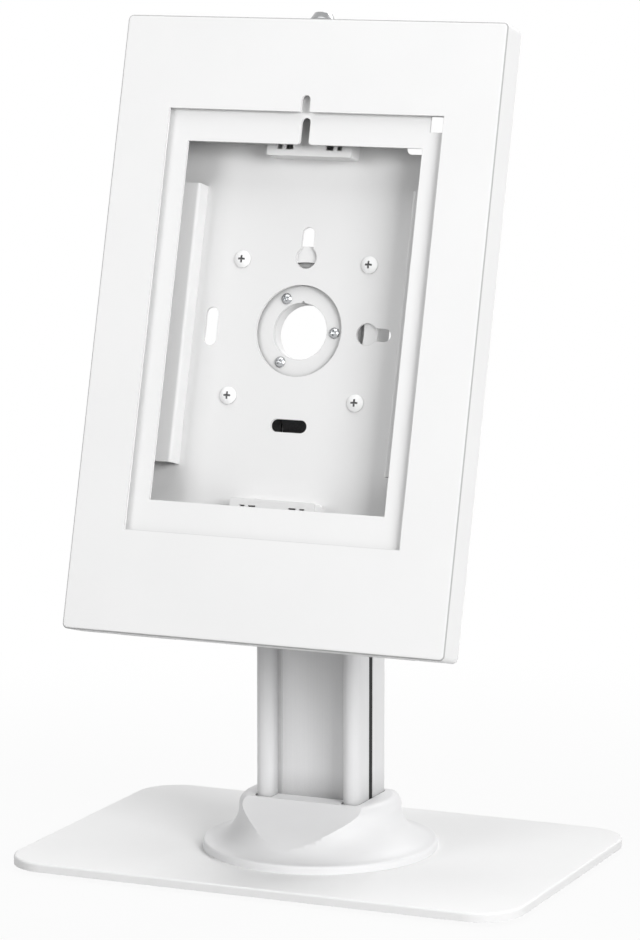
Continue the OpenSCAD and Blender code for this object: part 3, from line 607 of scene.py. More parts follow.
@dataclass(frozen=True)
class Plating(Finish):
    """Plated steel with fine scratches and a film of handling marks.

    Attributes:
        film: how much the film changes colour and roughness, from 0 to 1.
        film_matt: how much rougher a full film is.
        mark: size of the handling marks, in metres.
        dull: colour of the film.
        scratch: width of the scratches, in metres.
        scratch_along: how fast a scratch changes along its length, as a share of across it.
        scratch_depth: depth of the scratches, in metres.
        scratch_matt: change of roughness over the scratches.
    """

    film: float = 0.5
    film_matt: float = 0.22
    mark: float = 4 * MM
    dull: Colour = (0.52, 0.52, 0.53)
    scratch: float = 0.25 * MM
    scratch_along: float = 0.08
    scratch_depth: float = 0.002 * MM
    scratch_matt: float = 0.05

    def look(self, graph: Graph) -> Wire:
        """Makes the plating.

        Args:
            graph: node tree of the material.

        Returns:
            The surface shader.
        """
        place = graph.place()
        marks = graph.ease(graph.noise(place, self.mark, detail=4.0), low=0.35, high=0.75)
        scratches = graph.noise(graph.stretch(place, (1, self.scratch_along, 1)), self.scratch)
        matt = self.roughness + self.film_matt * self.film * marks
        return graph.surface({
            "Base Color": graph.mix(self.film * marks, self.colour, self.dull),
            "Metallic": 1.0,
            "Roughness": matt + self.scratch_matt * (scratches - MEAN),
            "Normal": graph.bump(scratches, self.scratch_depth),
        })


WHITE_COAT = PowderCoat("white_powder_coat", "white_coat", grey(0.86), 0.55)
# Front cover and mask: white coat with painted shade along cut edges, over folds and in corners.
SHADED_FOLDED_COAT = ShadedFoldedCoat("folded_powder_coat_painted_shade", "white_coat", grey(0.86), 0.55)
# A darker copy of the white coat paints the shade inside the tray, on its rests and on the mounting plate.
SHADED_TRAY_COAT = ShadedFoldedCoat("tray_powder_coat_painted_shade", "white_coat", grey(0.80), 0.55)
# A darker copy of the white coat paints the shade on the rails inside the tray.
SHADED_RAIL_COAT = ShadedFoldedCoat("rail_powder_coat_painted_shade", "white_coat", grey(0.74), 0.55, thin_coat_and_edge_shade=1.0, dust_and_painted_shade=0.0)
# A darker copy of the white coat, with strong painted shade near corners, paints the shade on the hub and
# ring.
SHADED_RING_COAT = ShadedFoldedCoat("ring_powder_coat_painted_shade", "white_coat", grey(0.78), 0.5, dust_and_painted_shade=0.55, painted_shade_reach=7 * MM)
# A lighter copy of the white coat paints light on the domed screw heads, and painted shade darkens their
# rims.
LIT_SCREW_COAT = PowderCoat(
    "screw_powder_coat_painted_light_and_shade",
    "white_coat",
    grey(0.93),
    0.42,
    dust_and_painted_shade=0.6,
    painted_shade_reach=1.5 * MM,
)
# A dark coat in the screws' cross recesses paints the shade inside them.
SHADED_COAT_RECESS = PowderCoat("coat_recess_painted_shade", "white_coat", grey(0.22), 0.5)
WHITE_MOULDING = Moulding("white_moulded_plastic", "white_moulding", (0.79, 0.79, 0.795), 0.5)
POST_COAT = Extrusion("painted_extrusion", "post_coat", (0.73, 0.73, 0.735), 0.34)
HINGE_COAT = CastCoat("dark_cast_coat", "hinge_coat", (0.045, 0.045, 0.047), 0.5)
BLACK_RUBBER = Rubber("black_rubber_grain", "black_rubber", grey(0.009), 0.72)
ZINC = Plating("zinc_plate", "zinc_steel", (0.70, 0.71, 0.73), 0.26)
CHROME = Plating("chrome_plate", "chrome", (0.36, 0.365, 0.37), 0.1, film=0.25, dull=(0.30, 0.30, 0.31))
BRIGHT_SCREW = Plating("bright_screw_steel", "chrome", (0.46, 0.47, 0.48), 0.16, film=0.35)
# Dark steel in hex sockets and the lock's keyway paints the shade inside them; the film adds handling
# marks.
SHADED_STEEL_RECESS = Plating(
    "steel_recess_painted_shade",
    "zinc_steel",
    (0.16, 0.16, 0.17),
    0.45,
    film=0.6,
    dull=grey(0.07),
    scratch_depth=0.004 * MM,
)


class Drive(Enum):
    """Recess in a screw's head."""

    CROSS = "cross"
    HEX = "hex"


def hexagon(apothem: float) -> Outline:
    """Returns the radius of a hexagon at each angle, with a corner at angle 0."""
    return lambda angle: apothem / math.cos(angle % (math.pi / 3) - math.pi / 6)


def apart(value: float) -> float:
    """Returns the size of a value, kept away from 0."""
    return max(abs(value), 1e-9)


def rectangle(half_x: float, half_y: float) -> Outline:
    """Returns the radius of a rectangle at each angle, from half its width and half its height."""
    return lambda angle: min(half_x / apart(math.cos(angle)), half_y / apart(math.sin(angle)))


def cross(half_w: float, reach: float) -> Outline:
    """Returns the radius of an upright cross at each angle, from half an arm's width and its reach."""
    return larger(rectangle(reach, half_w), rectangle(half_w, reach))


def grown(outline: Outline, amount: float) -> Outline:
    """Returns an outline moved out by an amount."""
    return lambda angle: outline(angle) + amount


def larger(first: Outline, second: Outline) -> Outline:
    """Returns the outline of what lies inside either of two outlines."""
    return lambda angle: max(first(angle), second(angle))


def smaller(first: Outline, second: Outline) -> Outline:
    """Returns the outline of what lies inside both outlines."""
    return lambda angle: min(first(angle), second(angle))


def between(share: float, first: Outline, second: Outline) -> Outline:
    """Returns an outline part of the way from the first to the second."""
    return lambda angle: first(angle) + share * (second(angle) - first(angle))


def circle(radius: float) -> Outline:
    """Returns the outline of a circle."""
    return lambda angle: radius


def four(half_x: float, half_y: float) -> list[tuple[float, float]]:
    """Returns the corners of a rectangle about the origin, from half its width and half its height."""
    return [(x, y) for x in (-half_x, half_x) for y in (-half_y, half_y)]


def turns(count: int, corners: Sequence[float] = (), near: float = 0.02) -> list[float]:
    """Divides a full turn.

    Args:
        count: number of even steps.
        corners: further angles of the first quarter, repeated in the others.
        near: how close to a corner an even step is left out.

    Returns:
        The angles in order.
    """
    even = [2 * math.pi * i / count for i in range(count)]
    extra = [corner + math.pi / 2 * i for corner in corners for i in range(4)]
    kept = [angle for angle in even if all(abs(angle - other) > near for other in extra)]
    return sorted(kept + extra)


@dataclass
class Turning:
    """Rows of points round an axis, from one end of a piece to the other.

    Attributes:
        angles: angles of the points in each row.
        rows: the rows so far.
        finishes: number of the finish on the band before each row.
    """

    angles: Sequence[float]
    rows: list[list[Vector]] = field(default_factory=list)
    finishes: list[int] = field(default_factory=list)

    def ring(self, radius: float | Outline, height: float | Level, finish: int = 0) -> None:
        """Adds a row.

        Args:
            radius: the row's radius, or its outline.
            height: the row's height, or the height at each radius.
            finish: number of the finish on the band that ends here.
        """
        outline = radius if callable(radius) else circle(radius)
        level = height if callable(height) else (lambda _: height)
        row = []
        for angle in self.angles:
            r = outline(angle)
            row.append(Vector((r * math.cos(angle), r * math.sin(angle), level(r))))
        self.rows.append(row)
        self.finishes.append(finish)

    def thread(self, radius: float, start: float, end: float, pitch: float, per_turn: int = 6) -> None:
        """Adds the rows of a screw thread.

        Args:
            radius: radius over the crests.
            start: height of its first row.
            end: height of its last row.
            pitch: height of one turn.
            per_turn: rows in one turn, and rows over which each end fades.
        """
        depth = 0.5 * pitch
        steps = max(per_turn, round(abs(end - start) / pitch * per_turn))
        for i in range(steps + 1):
            level = start + (end - start) * i / steps
            fade = min(1.0, i / per_turn, (steps - i) / per_turn)

            def flank(angle: float, level: float = level, fade: float = fade) -> float:
                """Returns the thread's radius at an angle."""
                phase = (level / pitch - angle / (2 * math.pi)) % 1.0
                return radius - depth * (1 - fade + fade * abs(2 * phase - 1))
            self.ring(flank, level)


class Shape:
    """Points and faces of a piece, gathered from turnings."""

    def __init__(self) -> None:
        """Starts with no points."""
        self.points: list[Vector] = []
        self.faces: list[list[int]] = []
        self.finishes: list[int] = []

    def add(self, turning: Turning, place: Matrix, hollow: bool = False) -> None:
        """Adds a turning.

        Args:
            turning: rows that run anticlockwise from the lower end, or outwards at the bottom.
            place: where its axis stands.
            hollow: the piece has a bore: the last row joins the first, and no end is closed.
        """
        first = len(self.points)
        count = len(turning.angles)
        rows = len(turning.rows)
        for row in turning.rows:
            self.points.extend(place @ point for point in row)
        for band in range(rows if hollow else rows - 1):
            low = first + band * count
            high = first + (band + 1) % rows * count
            for i in range(count):
                j = (i + 1) % count
                self.faces.append([low + i, low + j, high + j, high + i])
                self.finishes.append(turning.finishes[(band + 1) % rows])
        if not hollow:
            last = first + (rows - 1) * count
            self.faces.append([first + i for i in reversed(range(count))])
            self.faces.append([last + i for i in range(count)])
            self.finishes.extend([turning.finishes[0], turning.finishes[-1]])

    def build(self, name: str, finishes: Sequence[Finish], sharp: float = 32.0) -> bpy.types.Object:
        """Makes the object.

        Args:
            name: the object's name.
            finishes: its finishes, in the order of their numbers.
            sharp: bend from which an edge looks sharp, in degrees.

        Returns:
            The new object, in the scene.
        """
        mesh = bpy.data.meshes.new(name)
        mesh.from_pydata(self.points, [], self.faces)
        for finish in finishes:
            mesh.materials.append(finish.material())
        mesh.polygons.foreach_set("material_index", self.finishes)
        mesh.polygons.foreach_set("use_smooth", [True] * len(self.faces))
        mesh.set_sharp_from_angle(angle=math.radians(sharp))
        mesh.update()
        made = bpy.data.objects.new(name, mesh)
        bpy.context.scene.collection.objects.link(made)
        return made


# Steps round a screw and round a nut.
SCREW_STEPS = 48
NUT_STEPS = 72
# How far a screw's tip lies inside its thread, in pitches.
TIP = 0.6
# Rows of a domed head, as shares of the way from its rim to its recess.
DOME_ROWS = (0.08, 0.22, 0.45, 0.7, 0.9)
# Number of the finish in a recess; a darker finish there paints the recess's shade.
RECESS = 1


@dataclass(frozen=True)
class Screw:
    """A screw along -Z with its head on z = 0.

    Attributes:
        shank_d: diameter of the shank.
        length: length below the head.
        head_r: radius of the head.
        head_h: height of the head.
        drive: recess in the head.
        rim_h: height of the straight rim under the dome.
        arm: half the width of a cross recess's arm, as a share of the head's radius.
        span: half the length of a cross recess, as a share of the head's radius.
        socket: half the width of a hex recess, as a share of the head's radius.
        lip: width of the bevel round the recess.
        pitch: height of one turn of the thread.
    """

    shank_d: float
    length: float
    head_r: float
    head_h: float
    drive: Drive = Drive.CROSS
    rim_h: float = 0.0
    arm: float = 0.13
    span: float = 0.56
    socket: float = 0.42
    lip: float = 0.05 * MM
    pitch: float = 0.7 * MM

    def recess(self) -> Outline:
        """Shapes the recess.

        Returns:
            Its outline.
        """
        if self.drive is Drive.CROSS:
            return cross(self.head_r * self.arm, self.head_r * self.span)
        return hexagon(self.head_r * self.socket)

    def dome(self, radius: float) -> float:
        """Finds the surface of the head.

        Args:
            radius: distance from the axis.

        Returns:
            The height of the surface there.
        """
        rise = self.head_h - self.rim_h
        ball = (self.head_r ** 2 + rise ** 2) / (2 * rise)
        return self.rim_h + math.sqrt(max(0.0, ball ** 2 - radius ** 2)) - (ball - rise)

    def turning(self) -> Turning:
        """Turns the screw, from its tip to the bottom of the recess.

        Returns:
            Its rows.
        """
        corner = math.atan(self.arm / self.span)
        corners = (corner, math.pi / 4, math.pi / 2 - corner) if self.drive is Drive.CROSS else ()
        recess = self.recess()
        lip = grown(recess, self.lip)
        rim = circle(self.head_r)
        middle = circle(0.0)
        shank_r = self.shank_d / 2
        rows = Turning(turns(SCREW_STEPS, corners))
        rows.ring(shank_r - TIP * self.pitch, -self.length)
        rows.thread(shank_r, -self.length + 0.5 * self.pitch, -0.8 * self.pitch, self.pitch)
        rows.ring(shank_r, -0.3 * self.pitch)
        rows.ring(shank_r, 0.0)
        rows.ring(0.97 * self.head_r, 0.0)
        rows.ring(self.head_r, 0.03 * self.head_h)
        if self.rim_h:
            rows.ring(self.head_r, self.rim_h)
        for share in DOME_ROWS:
            rows.ring(between(share, rim, lip), self.dome)
        rows.ring(lip, self.dome)
        # The recess's faces take the second finish; a darker one there paints their shade.
        rows.ring(recess, lambda r: self.dome(r) - self.lip, RECESS)
        rows.ring(between(0.12, recess, middle), 0.5 * self.head_h, RECESS)
        rows.ring(between(0.35, recess, middle), 0.32 * self.head_h, RECESS)
        return rows


@dataclass(frozen=True)
class SocketScrew:
    """A flat screw along -Z with a hex socket and its head's upper face on z = 0.

    Attributes:
        shank_d: diameter of the shank.
        length: length of the whole screw.
        head_d: diameter of the head.
        head_h: height of the head.
        countersunk: a cone under the head instead of a step.
        socket: half the width of the socket, as a share of the shank's radius.
        lip: width of the bevel round the socket.
        pitch: height of one turn of the thread.
    """

    shank_d: float
    length: float
    head_d: float
    head_h: float
    countersunk: bool = False
    socket: float = 0.52
    lip: float = 0.06 * MM
    pitch: float = 0.7 * MM

    def turning(self) -> Turning:
        """Turns the screw, from its tip to the bottom of the socket.

        Returns:
            Its rows.
        """
        shank_r = self.shank_d / 2
        head_r = self.head_d / 2
        edge = 0.12 * self.head_h
        socket = hexagon(shank_r * self.socket)
        rows = Turning(turns(SCREW_STEPS))
        rows.ring(shank_r - TIP * self.pitch, -self.length)
        rows.thread(shank_r, -self.length + 0.5 * self.pitch, -self.head_h - self.pitch, self.pitch)
        rows.ring(shank_r, -self.head_h)
        if not self.countersunk:
            rows.ring(head_r, -self.head_h)
        rows.ring(head_r, -edge)
        rows.ring(head_r - edge, 0.0)
        rows.ring(grown(socket, self.lip), 0.0)
        rows.ring(socket, -self.lip)
        rows.ring(socket, -0.6 * self.head_h)
        rows.ring(0.2 * shank_r, -0.72 * self.head_h)
        return rows


@dataclass(frozen=True)
class HexNut:
    """A chamfered nut standing on z = 0.

    Attributes:
        corner_r: radius over the corners.
        bore_r: radius of the bore.
        height: height of the nut.
    """

    corner_r: float
    bore_r: float
    height: float

    def flat(self) -> float:
        """Returns half the width over the flats."""
        return self.corner_r * math.cos(math.pi / 6)

    def chamfer(self, radius: float) -> float:
        """Finds the chamfered face at either end.

        Args:
            radius: distance from the axis.

        Returns:
            How far the face lies inside the nut's end there.
        """
        drop = (self.corner_r - self.flat()) * math.tan(math.radians(30)) * 1.3
        start = 0.96 * self.flat()
        return max(0.0, (radius - start) / (self.corner_r - start)) * drop

    def turning(self) -> Turning:
        """Turns the nut, round its section from the bottom of the bore outwards.

        Returns:
            Its rows.
        """
        hexed = smaller(hexagon(self.flat()), circle(0.995 * self.corner_r))
        face_r = 0.95 * self.flat()
        step = 0.12 * self.bore_r
        rows = Turning(turns(NUT_STEPS))
        rows.ring(self.bore_r, step)
        rows.ring(self.bore_r + step, 0.0)
        rows.ring(face_r, 0.0)
        rows.ring(hexed, self.chamfer)
        rows.ring(hexed, lambda r: self.height - self.chamfer(r))
        rows.ring(face_r, self.height)
        rows.ring(self.bore_r + step, self.height)
        rows.ring(self.bore_r, self.height - step)
        return rows


# Points closer than this are one point.
SAME_POINT = 0.001 * MM
# Bend up to which two faces are one flat face, in degrees.
FLAT = 0.5
# Bend from which an edge is rounded, in degrees.
BENT = 35.0


@dataclass
class SubAssembly:
    """Pieces of the stand that belong together."""

    def dress(self, finish: Finish, *nodes: str) -> None:
        """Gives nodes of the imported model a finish.

        Args:
            finish: the finish.
            nodes: names of the nodes.
        """
        for name in nodes:
            slots = frame["nodes"][name].data.materials
            for i in range(len(slots)):
                slots[i] = finish.material()
            LOG.info("%s: %s", name, finish.name)

    def soften(self, width: float, *nodes: str, clamp: bool = True) -> None:
        """Rounds the edges of nodes without touching their meshes.

        Args:
            width: width of the rounding, in metres, and with clamp the most that it can be.
            nodes: names of the nodes.
            clamp: narrows a node's whole rounding to what fits at its tightest spot.
        """
        for name in nodes:
            stack = frame["nodes"][name].modifiers
            stack.new("joined", "WELD").merge_threshold = SAME_POINT
            whole = stack.new("whole_faces", "DECIMATE")
            whole.decimate_type = "DISSOLVE"
            whole.angle_limit = math.radians(FLAT)
            rounded = stack.new("rounded", "BEVEL")
            rounded.width = width
            rounded.segments = 2
            rounded.limit_method = "ANGLE"
            rounded.angle_limit = math.radians(BENT)
            rounded.use_clamp_overlap = clamp
            stack.new("light", "WEIGHTED_NORMAL").keep_sharp = False

    def stand_in(self, node: str, shape: Shape, *finishes: Finish) -> None:
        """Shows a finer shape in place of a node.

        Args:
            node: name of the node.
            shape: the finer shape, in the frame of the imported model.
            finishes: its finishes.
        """
        piece = shape.build(node + "_detail", finishes)
        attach(piece, frame["nodes"][node]["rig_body"])
        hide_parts(node)
        LOG.info("%s: %d points, %s", piece.name, len(shape.points), finishes[0].name)

    def turned(
        self,
        node: str,
        rows: Turning,
        place: Matrix,
        *finishes: Finish,
        hollow: bool = False,
    ) -> None:
        """Shows one turning in place of a node.

        Args:
            node: name of the node.
            rows: the turning.
            place: where its axis stands.
            finishes: its finishes.
            hollow: the piece has a bore.
        """
        shape = Shape()
        shape.add(rows, place, hollow)
        self.stand_in(node, shape, *finishes)


@dataclass
class Stand(SubAssembly):
    """Base plate, feet, base cover and post.

    Attributes:
        plate_top: height of the base plate's upper face.
        plate_size: width and depth of the base plate.
        foot_d: diameter of a foot.
        foot_h: height of a foot.
        foot_inset: from the plate's edges to a foot's middle.
        foot_rings: number of rings in a foot's sole.
        foot_round: width of the rounding round a foot's sole, as a share of the foot's radius.
        post_len: length of the post.
        port_x: from the middle to the post's screws on either side.
        port_y: y of its front and rear screws.
        screw_d: diameter of those screws.
        screw_head: diameter and height of their heads.
        screw_grip: how far the screws run into the post.
        head_t: thickness of the hinge foot on the post.
    """

    plate_top: float = 7.5 * MM
    plate_size: tuple[float, float] = (300 * MM, 200 * MM)
    foot_d: float = 20 * MM
    foot_h: float = 2.5 * MM
    foot_inset: float = 26 * MM
    foot_rings: int = 5
    foot_round: float = 0.07
    post_len: float = 212 * MM
    port_x: float = 26 * MM
    port_y: tuple[float, float] = (-15.5 * MM, -7.5 * MM)
    screw_d: float = 4 * MM
    screw_head: tuple[float, float] = (6.4 * MM, 2.4 * MM)
    screw_grip: float = 16 * MM
    head_t: float = 7 * MM

    def build(self) -> None:
        """Dresses the stand."""
        self.dress(WHITE_COAT, "base_plate")
        self.dress(WHITE_MOULDING, "base_cover")
        self.dress(POST_COAT, "post_profile", "cable_cover")
        self.dress(BLACK_RUBBER, "slot_strips")
        self.dress(HINGE_COAT, "post_head")
        self.soften(0.3 * MM, "cable_cover", "post_head")
        self.soften(0.2 * MM, "base_cover")
        self.feet()
        self.screws()

    def feet(self) -> None:
        """Moulds the four feet with a dimple and rings in their soles."""
        r = self.foot_d / 2
        groove = 0.1 * self.foot_h
        rows = Turning(turns(64))
        rows.ring(0.22 * r, 0.40 * self.foot_h)
        rows.ring(0.32 * r, 0.34 * self.foot_h)
        rows.ring(0.38 * r, 0.04 * self.foot_h)
        for i in range(self.foot_rings):
            start = 0.42 + 0.5 * i / self.foot_rings
            rows.ring(start * r, 0.0)
            rows.ring((start + 0.05) * r, 0.0)
            rows.ring((start + 0.06) * r, groove)
            rows.ring((start + 0.09) * r, groove)
        steps = 6
        for i in range(steps + 1):
            angle = math.pi / 2 * i / steps
            out = 1 - self.foot_round * (1 - math.sin(angle))
            rows.ring(r * out, r * self.foot_round * (1 - math.cos(angle)))
        rows.ring(r, 0.9 * self.foot_h)
        rows.ring(0.98 * r, self.foot_h)
        shape = Shape()
        for x, y in four(*(side / 2 - self.foot_inset for side in self.plate_size)):
            shape.add(rows, Matrix.Translation((x, y, 0.0)))
        self.stand_in("rubber_feet", shape, BLACK_RUBBER)

    def screws(self) -> None:
        """Makes the screws at both ends of the post."""
        low_len = self.plate_top - self.foot_h + self.screw_grip
        high_len = self.head_t + self.screw_grip
        low = SocketScrew(self.screw_d, low_len, *self.screw_head, countersunk=True).turning()
        high = SocketScrew(self.screw_d, high_len, *self.screw_head).turning()
        top = self.plate_top + self.post_len + self.head_t
        bolts = Shape()
        screws = Shape()
        for x in (-self.port_x, self.port_x):
            for y in self.port_y:
                bolts.add(low, Matrix.Translation((x, y, self.foot_h)) @ OVER)
                screws.add(high, Matrix.Translation((x, y, top)))
        self.stand_in("post_bolts", bolts, ZINC)
        self.stand_in("head_screws", screws, ZINC)


@dataclass
class Head(SubAssembly):
    """Frame that the tilting pieces share.

    Its origin is on the hub's axis at the case's back. Its x runs to the right, its y up the case and its z
    out of the case's front.

    Attributes:
        pivot: the tilt axis, by y and z.
        hub_rise: from the tilt axis up the case to the hub.
        hub_reach: from the tilt axis forward to the case's back.
    """

    pivot: tuple[float, float] = (-7 * MM, 242 * MM)
    hub_rise: float = 50 * MM
    hub_reach: float = 35 * MM

    def at(self, x: float, y: float, z: float) -> Matrix:
        """Finds a point of the head.

        Args:
            x: from the hub's axis to the right.
            y: from the hub's axis up the case.
            z: from the case's back to its front.

        Returns:
            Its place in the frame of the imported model, with the head's directions.
        """
        turn = Matrix.Rotation(math.radians(90 - LEAN), 4, "X")
        return (
            Matrix.Translation((0, *self.pivot))
            @ turn
            @ Matrix.Translation((x, y + self.hub_rise, z + self.hub_reach))
        )


@dataclass
class TiltHinge(Head):
    """Yoke, bolt, nut and washers of the tilt axis.

    Attributes:
        bolt_d: diameter of the bolt.
        bolt_play: gap between the bolt and the nut's bore.
        ear_out: from the middle to the outer face of an ear.
    """

    bolt_d: float = 8 * MM
    bolt_play: float = 0.1 * MM
    ear_out: float = 21.5 * MM

    def build(self) -> None:
        """Dresses the tilt hinge."""
        self.dress(HINGE_COAT, "tilt_yoke")
        self.dress(WHITE_MOULDING, "tilt_washers")
        self.soften(0.15 * MM, "tilt_yoke", clamp=False)
        axis = self.at(0, -self.hub_rise, -self.hub_reach) @ Matrix.Rotation(math.pi / 2, 4, "Y")
        nut = HexNut(
            corner_r=0.925 * self.bolt_d,
            bore_r=self.bolt_d / 2 + self.bolt_play,
            height=0.8 * self.bolt_d,
        )
        seat = axis @ Matrix.Translation((0, 0, self.ear_out))
        self.turned("tilt_nut", nut.turning(), seat, ZINC, hollow=True)
        bolt = Screw(
            shank_d=self.bolt_d,
            length=2 * self.ear_out + 0.9 * self.bolt_d,
            head_r=0.85 * self.bolt_d,
            head_h=0.55 * self.bolt_d,
            drive=Drive.HEX,
            pitch=1.25 * MM,
        )
        seat = axis @ Matrix.Translation((0, 0, -self.ear_out)) @ OVER
        self.turned("tilt_bolt", bolt.turning(), seat, ZINC, ZINC)


@dataclass
class TurningHub(Head):
    """Hub that the case turns on, its ring, washers, screws and mounting plate.

    Attributes:
        ring_screw_r: radius of the ring screws' circle.
        ring_front: height of the ring's front face.
        yoke_back: height of the yoke's back face.
        hub_screw_r: radius of the hub screws' circle.
        ring_screw: the screw that holds the ring.
        hub_screw: the screw that holds the hub.
    """

    ring_screw_r: float = 20 * MM
    ring_front: float = -0.8 * MM
    yoke_back: float = -15.5 * MM
    hub_screw_r: float = 25 * MM
    ring_screw: Screw = Screw(3 * MM, 5.3 * MM, 3 * MM, 1.8 * MM, rim_h=0.35 * MM, pitch=0.5 * MM)
    hub_screw: Screw = Screw(4 * MM, 7.8 * MM, 3.5 * MM, 2.2 * MM, rim_h=0.4 * MM)

    def build(self) -> None:
        """Dresses the hub."""
        self.dress(SHADED_RING_COAT, "hub_body", "retainer_ring")
        self.dress(SHADED_TRAY_COAT, "vesa_plate")
        self.dress(WHITE_MOULDING, "swivel_washers")
        self.soften(0.15 * MM, "retainer_ring", clamp=False)
        self.soften(0.25 * MM, "hub_body", "vesa_plate")
        upright = Matrix.Identity(4)
        ring_screws = self.three(self.ring_screw, self.ring_screw_r, self.ring_front, 0, upright)
        self.stand_in("ring_screws", ring_screws, BRIGHT_SCREW, BRIGHT_SCREW)
        hub_screws = self.three(self.hub_screw, self.hub_screw_r, self.yoke_back, 90, OVER)
        self.stand_in("hub_screws", hub_screws, ZINC, SHADED_STEEL_RECESS)

    def three(self, screw: Screw, radius: float, height: float, start: float, turn: Matrix) -> Shape:
        """Sets three screws evenly round the hub's axis.

        Args:
            screw: the screw.
            radius: radius of the screws' circle.
            height: height of the face that they stand on.
            start: angle of the first one, in degrees.
            turn: how each one is turned about its seat.

        Returns:
            The screws.
        """
        rows = screw.turning()
        shape = Shape()
        for angle in (start, start + 120, start + 240):
            spoke = Matrix.Rotation(math.radians(angle), 4, "Z")
            shape.add(rows, self.at(0, 0, height) @ spoke @ Matrix.Translation((radius, 0, 0)) @ turn)
        return shape


@dataclass
class Case(Head):
    """Tray of the case with its rests, keeper, screws and hinge pins.

    Attributes:
        vesa: spacing of the four screws.
        sheet: thickness of the tray's sheet.
        screw: a screw that holds the tray.
    """

    vesa: float = 75 * MM
    sheet: float = 1.5 * MM
    screw: Screw = Screw(4 * MM, 6.5 * MM, 4.75 * MM, 2.2 * MM, rim_h=0.6 * MM, arm=0.11, span=0.42)

    def build(self) -> None:
        """Dresses the tray."""
        self.dress(SHADED_TRAY_COAT, "tray", "top_bracket", "bottom_bracket", "lock_keeper")
        self.dress(SHADED_RAIL_COAT, "left_rail", "right_rail")
        self.dress(ZINC, "hinge_pins")
        self.soften(0.15 * MM, "tray", "left_rail", "right_rail", "top_bracket", "bottom_bracket")
        self.soften(0.15 * MM, "lock_keeper")
        rows = self.screw.turning()
        shape = Shape()
        for x, y in four(self.vesa / 2, self.vesa / 2):
            shape.add(rows, self.at(x, y, self.sheet))
        self.stand_in("vesa_screws", shape, LIT_SCREW_COAT, SHADED_COAT_RECESS)


@dataclass
class FrontCover(Head):
    """Front cover with its exchangeable mask.

    Attributes:
        stud: x and y of the outer studs.
        mask_back: height of the mask's back face.
        nut: a nut on a stud.
    """

    stud: tuple[float, float] = (86.25 * MM, 98.75 * MM)
    mask_back: float = 19.1 * MM
    nut: HexNut = HexNut(3.4 * MM, 1.6 * MM, 2.4 * MM)

    def build(self) -> None:
        """Dresses the front cover."""
        self.dress(SHADED_FOLDED_COAT, "front_cover", "mask")
        self.dress(ZINC, "mask_spacers")
        self.soften(0.3 * MM, "front_cover", "mask")
        rows = self.nut.turning()
        shape = Shape()
        for x in (-self.stud[0], self.stud[0]):
            for y in (-self.stud[1], 0.0, self.stud[1]):
                shape.add(rows, self.at(x, y, self.mask_back - self.nut.height), hollow=True)
        self.stand_in("mask_nuts", shape, ZINC)


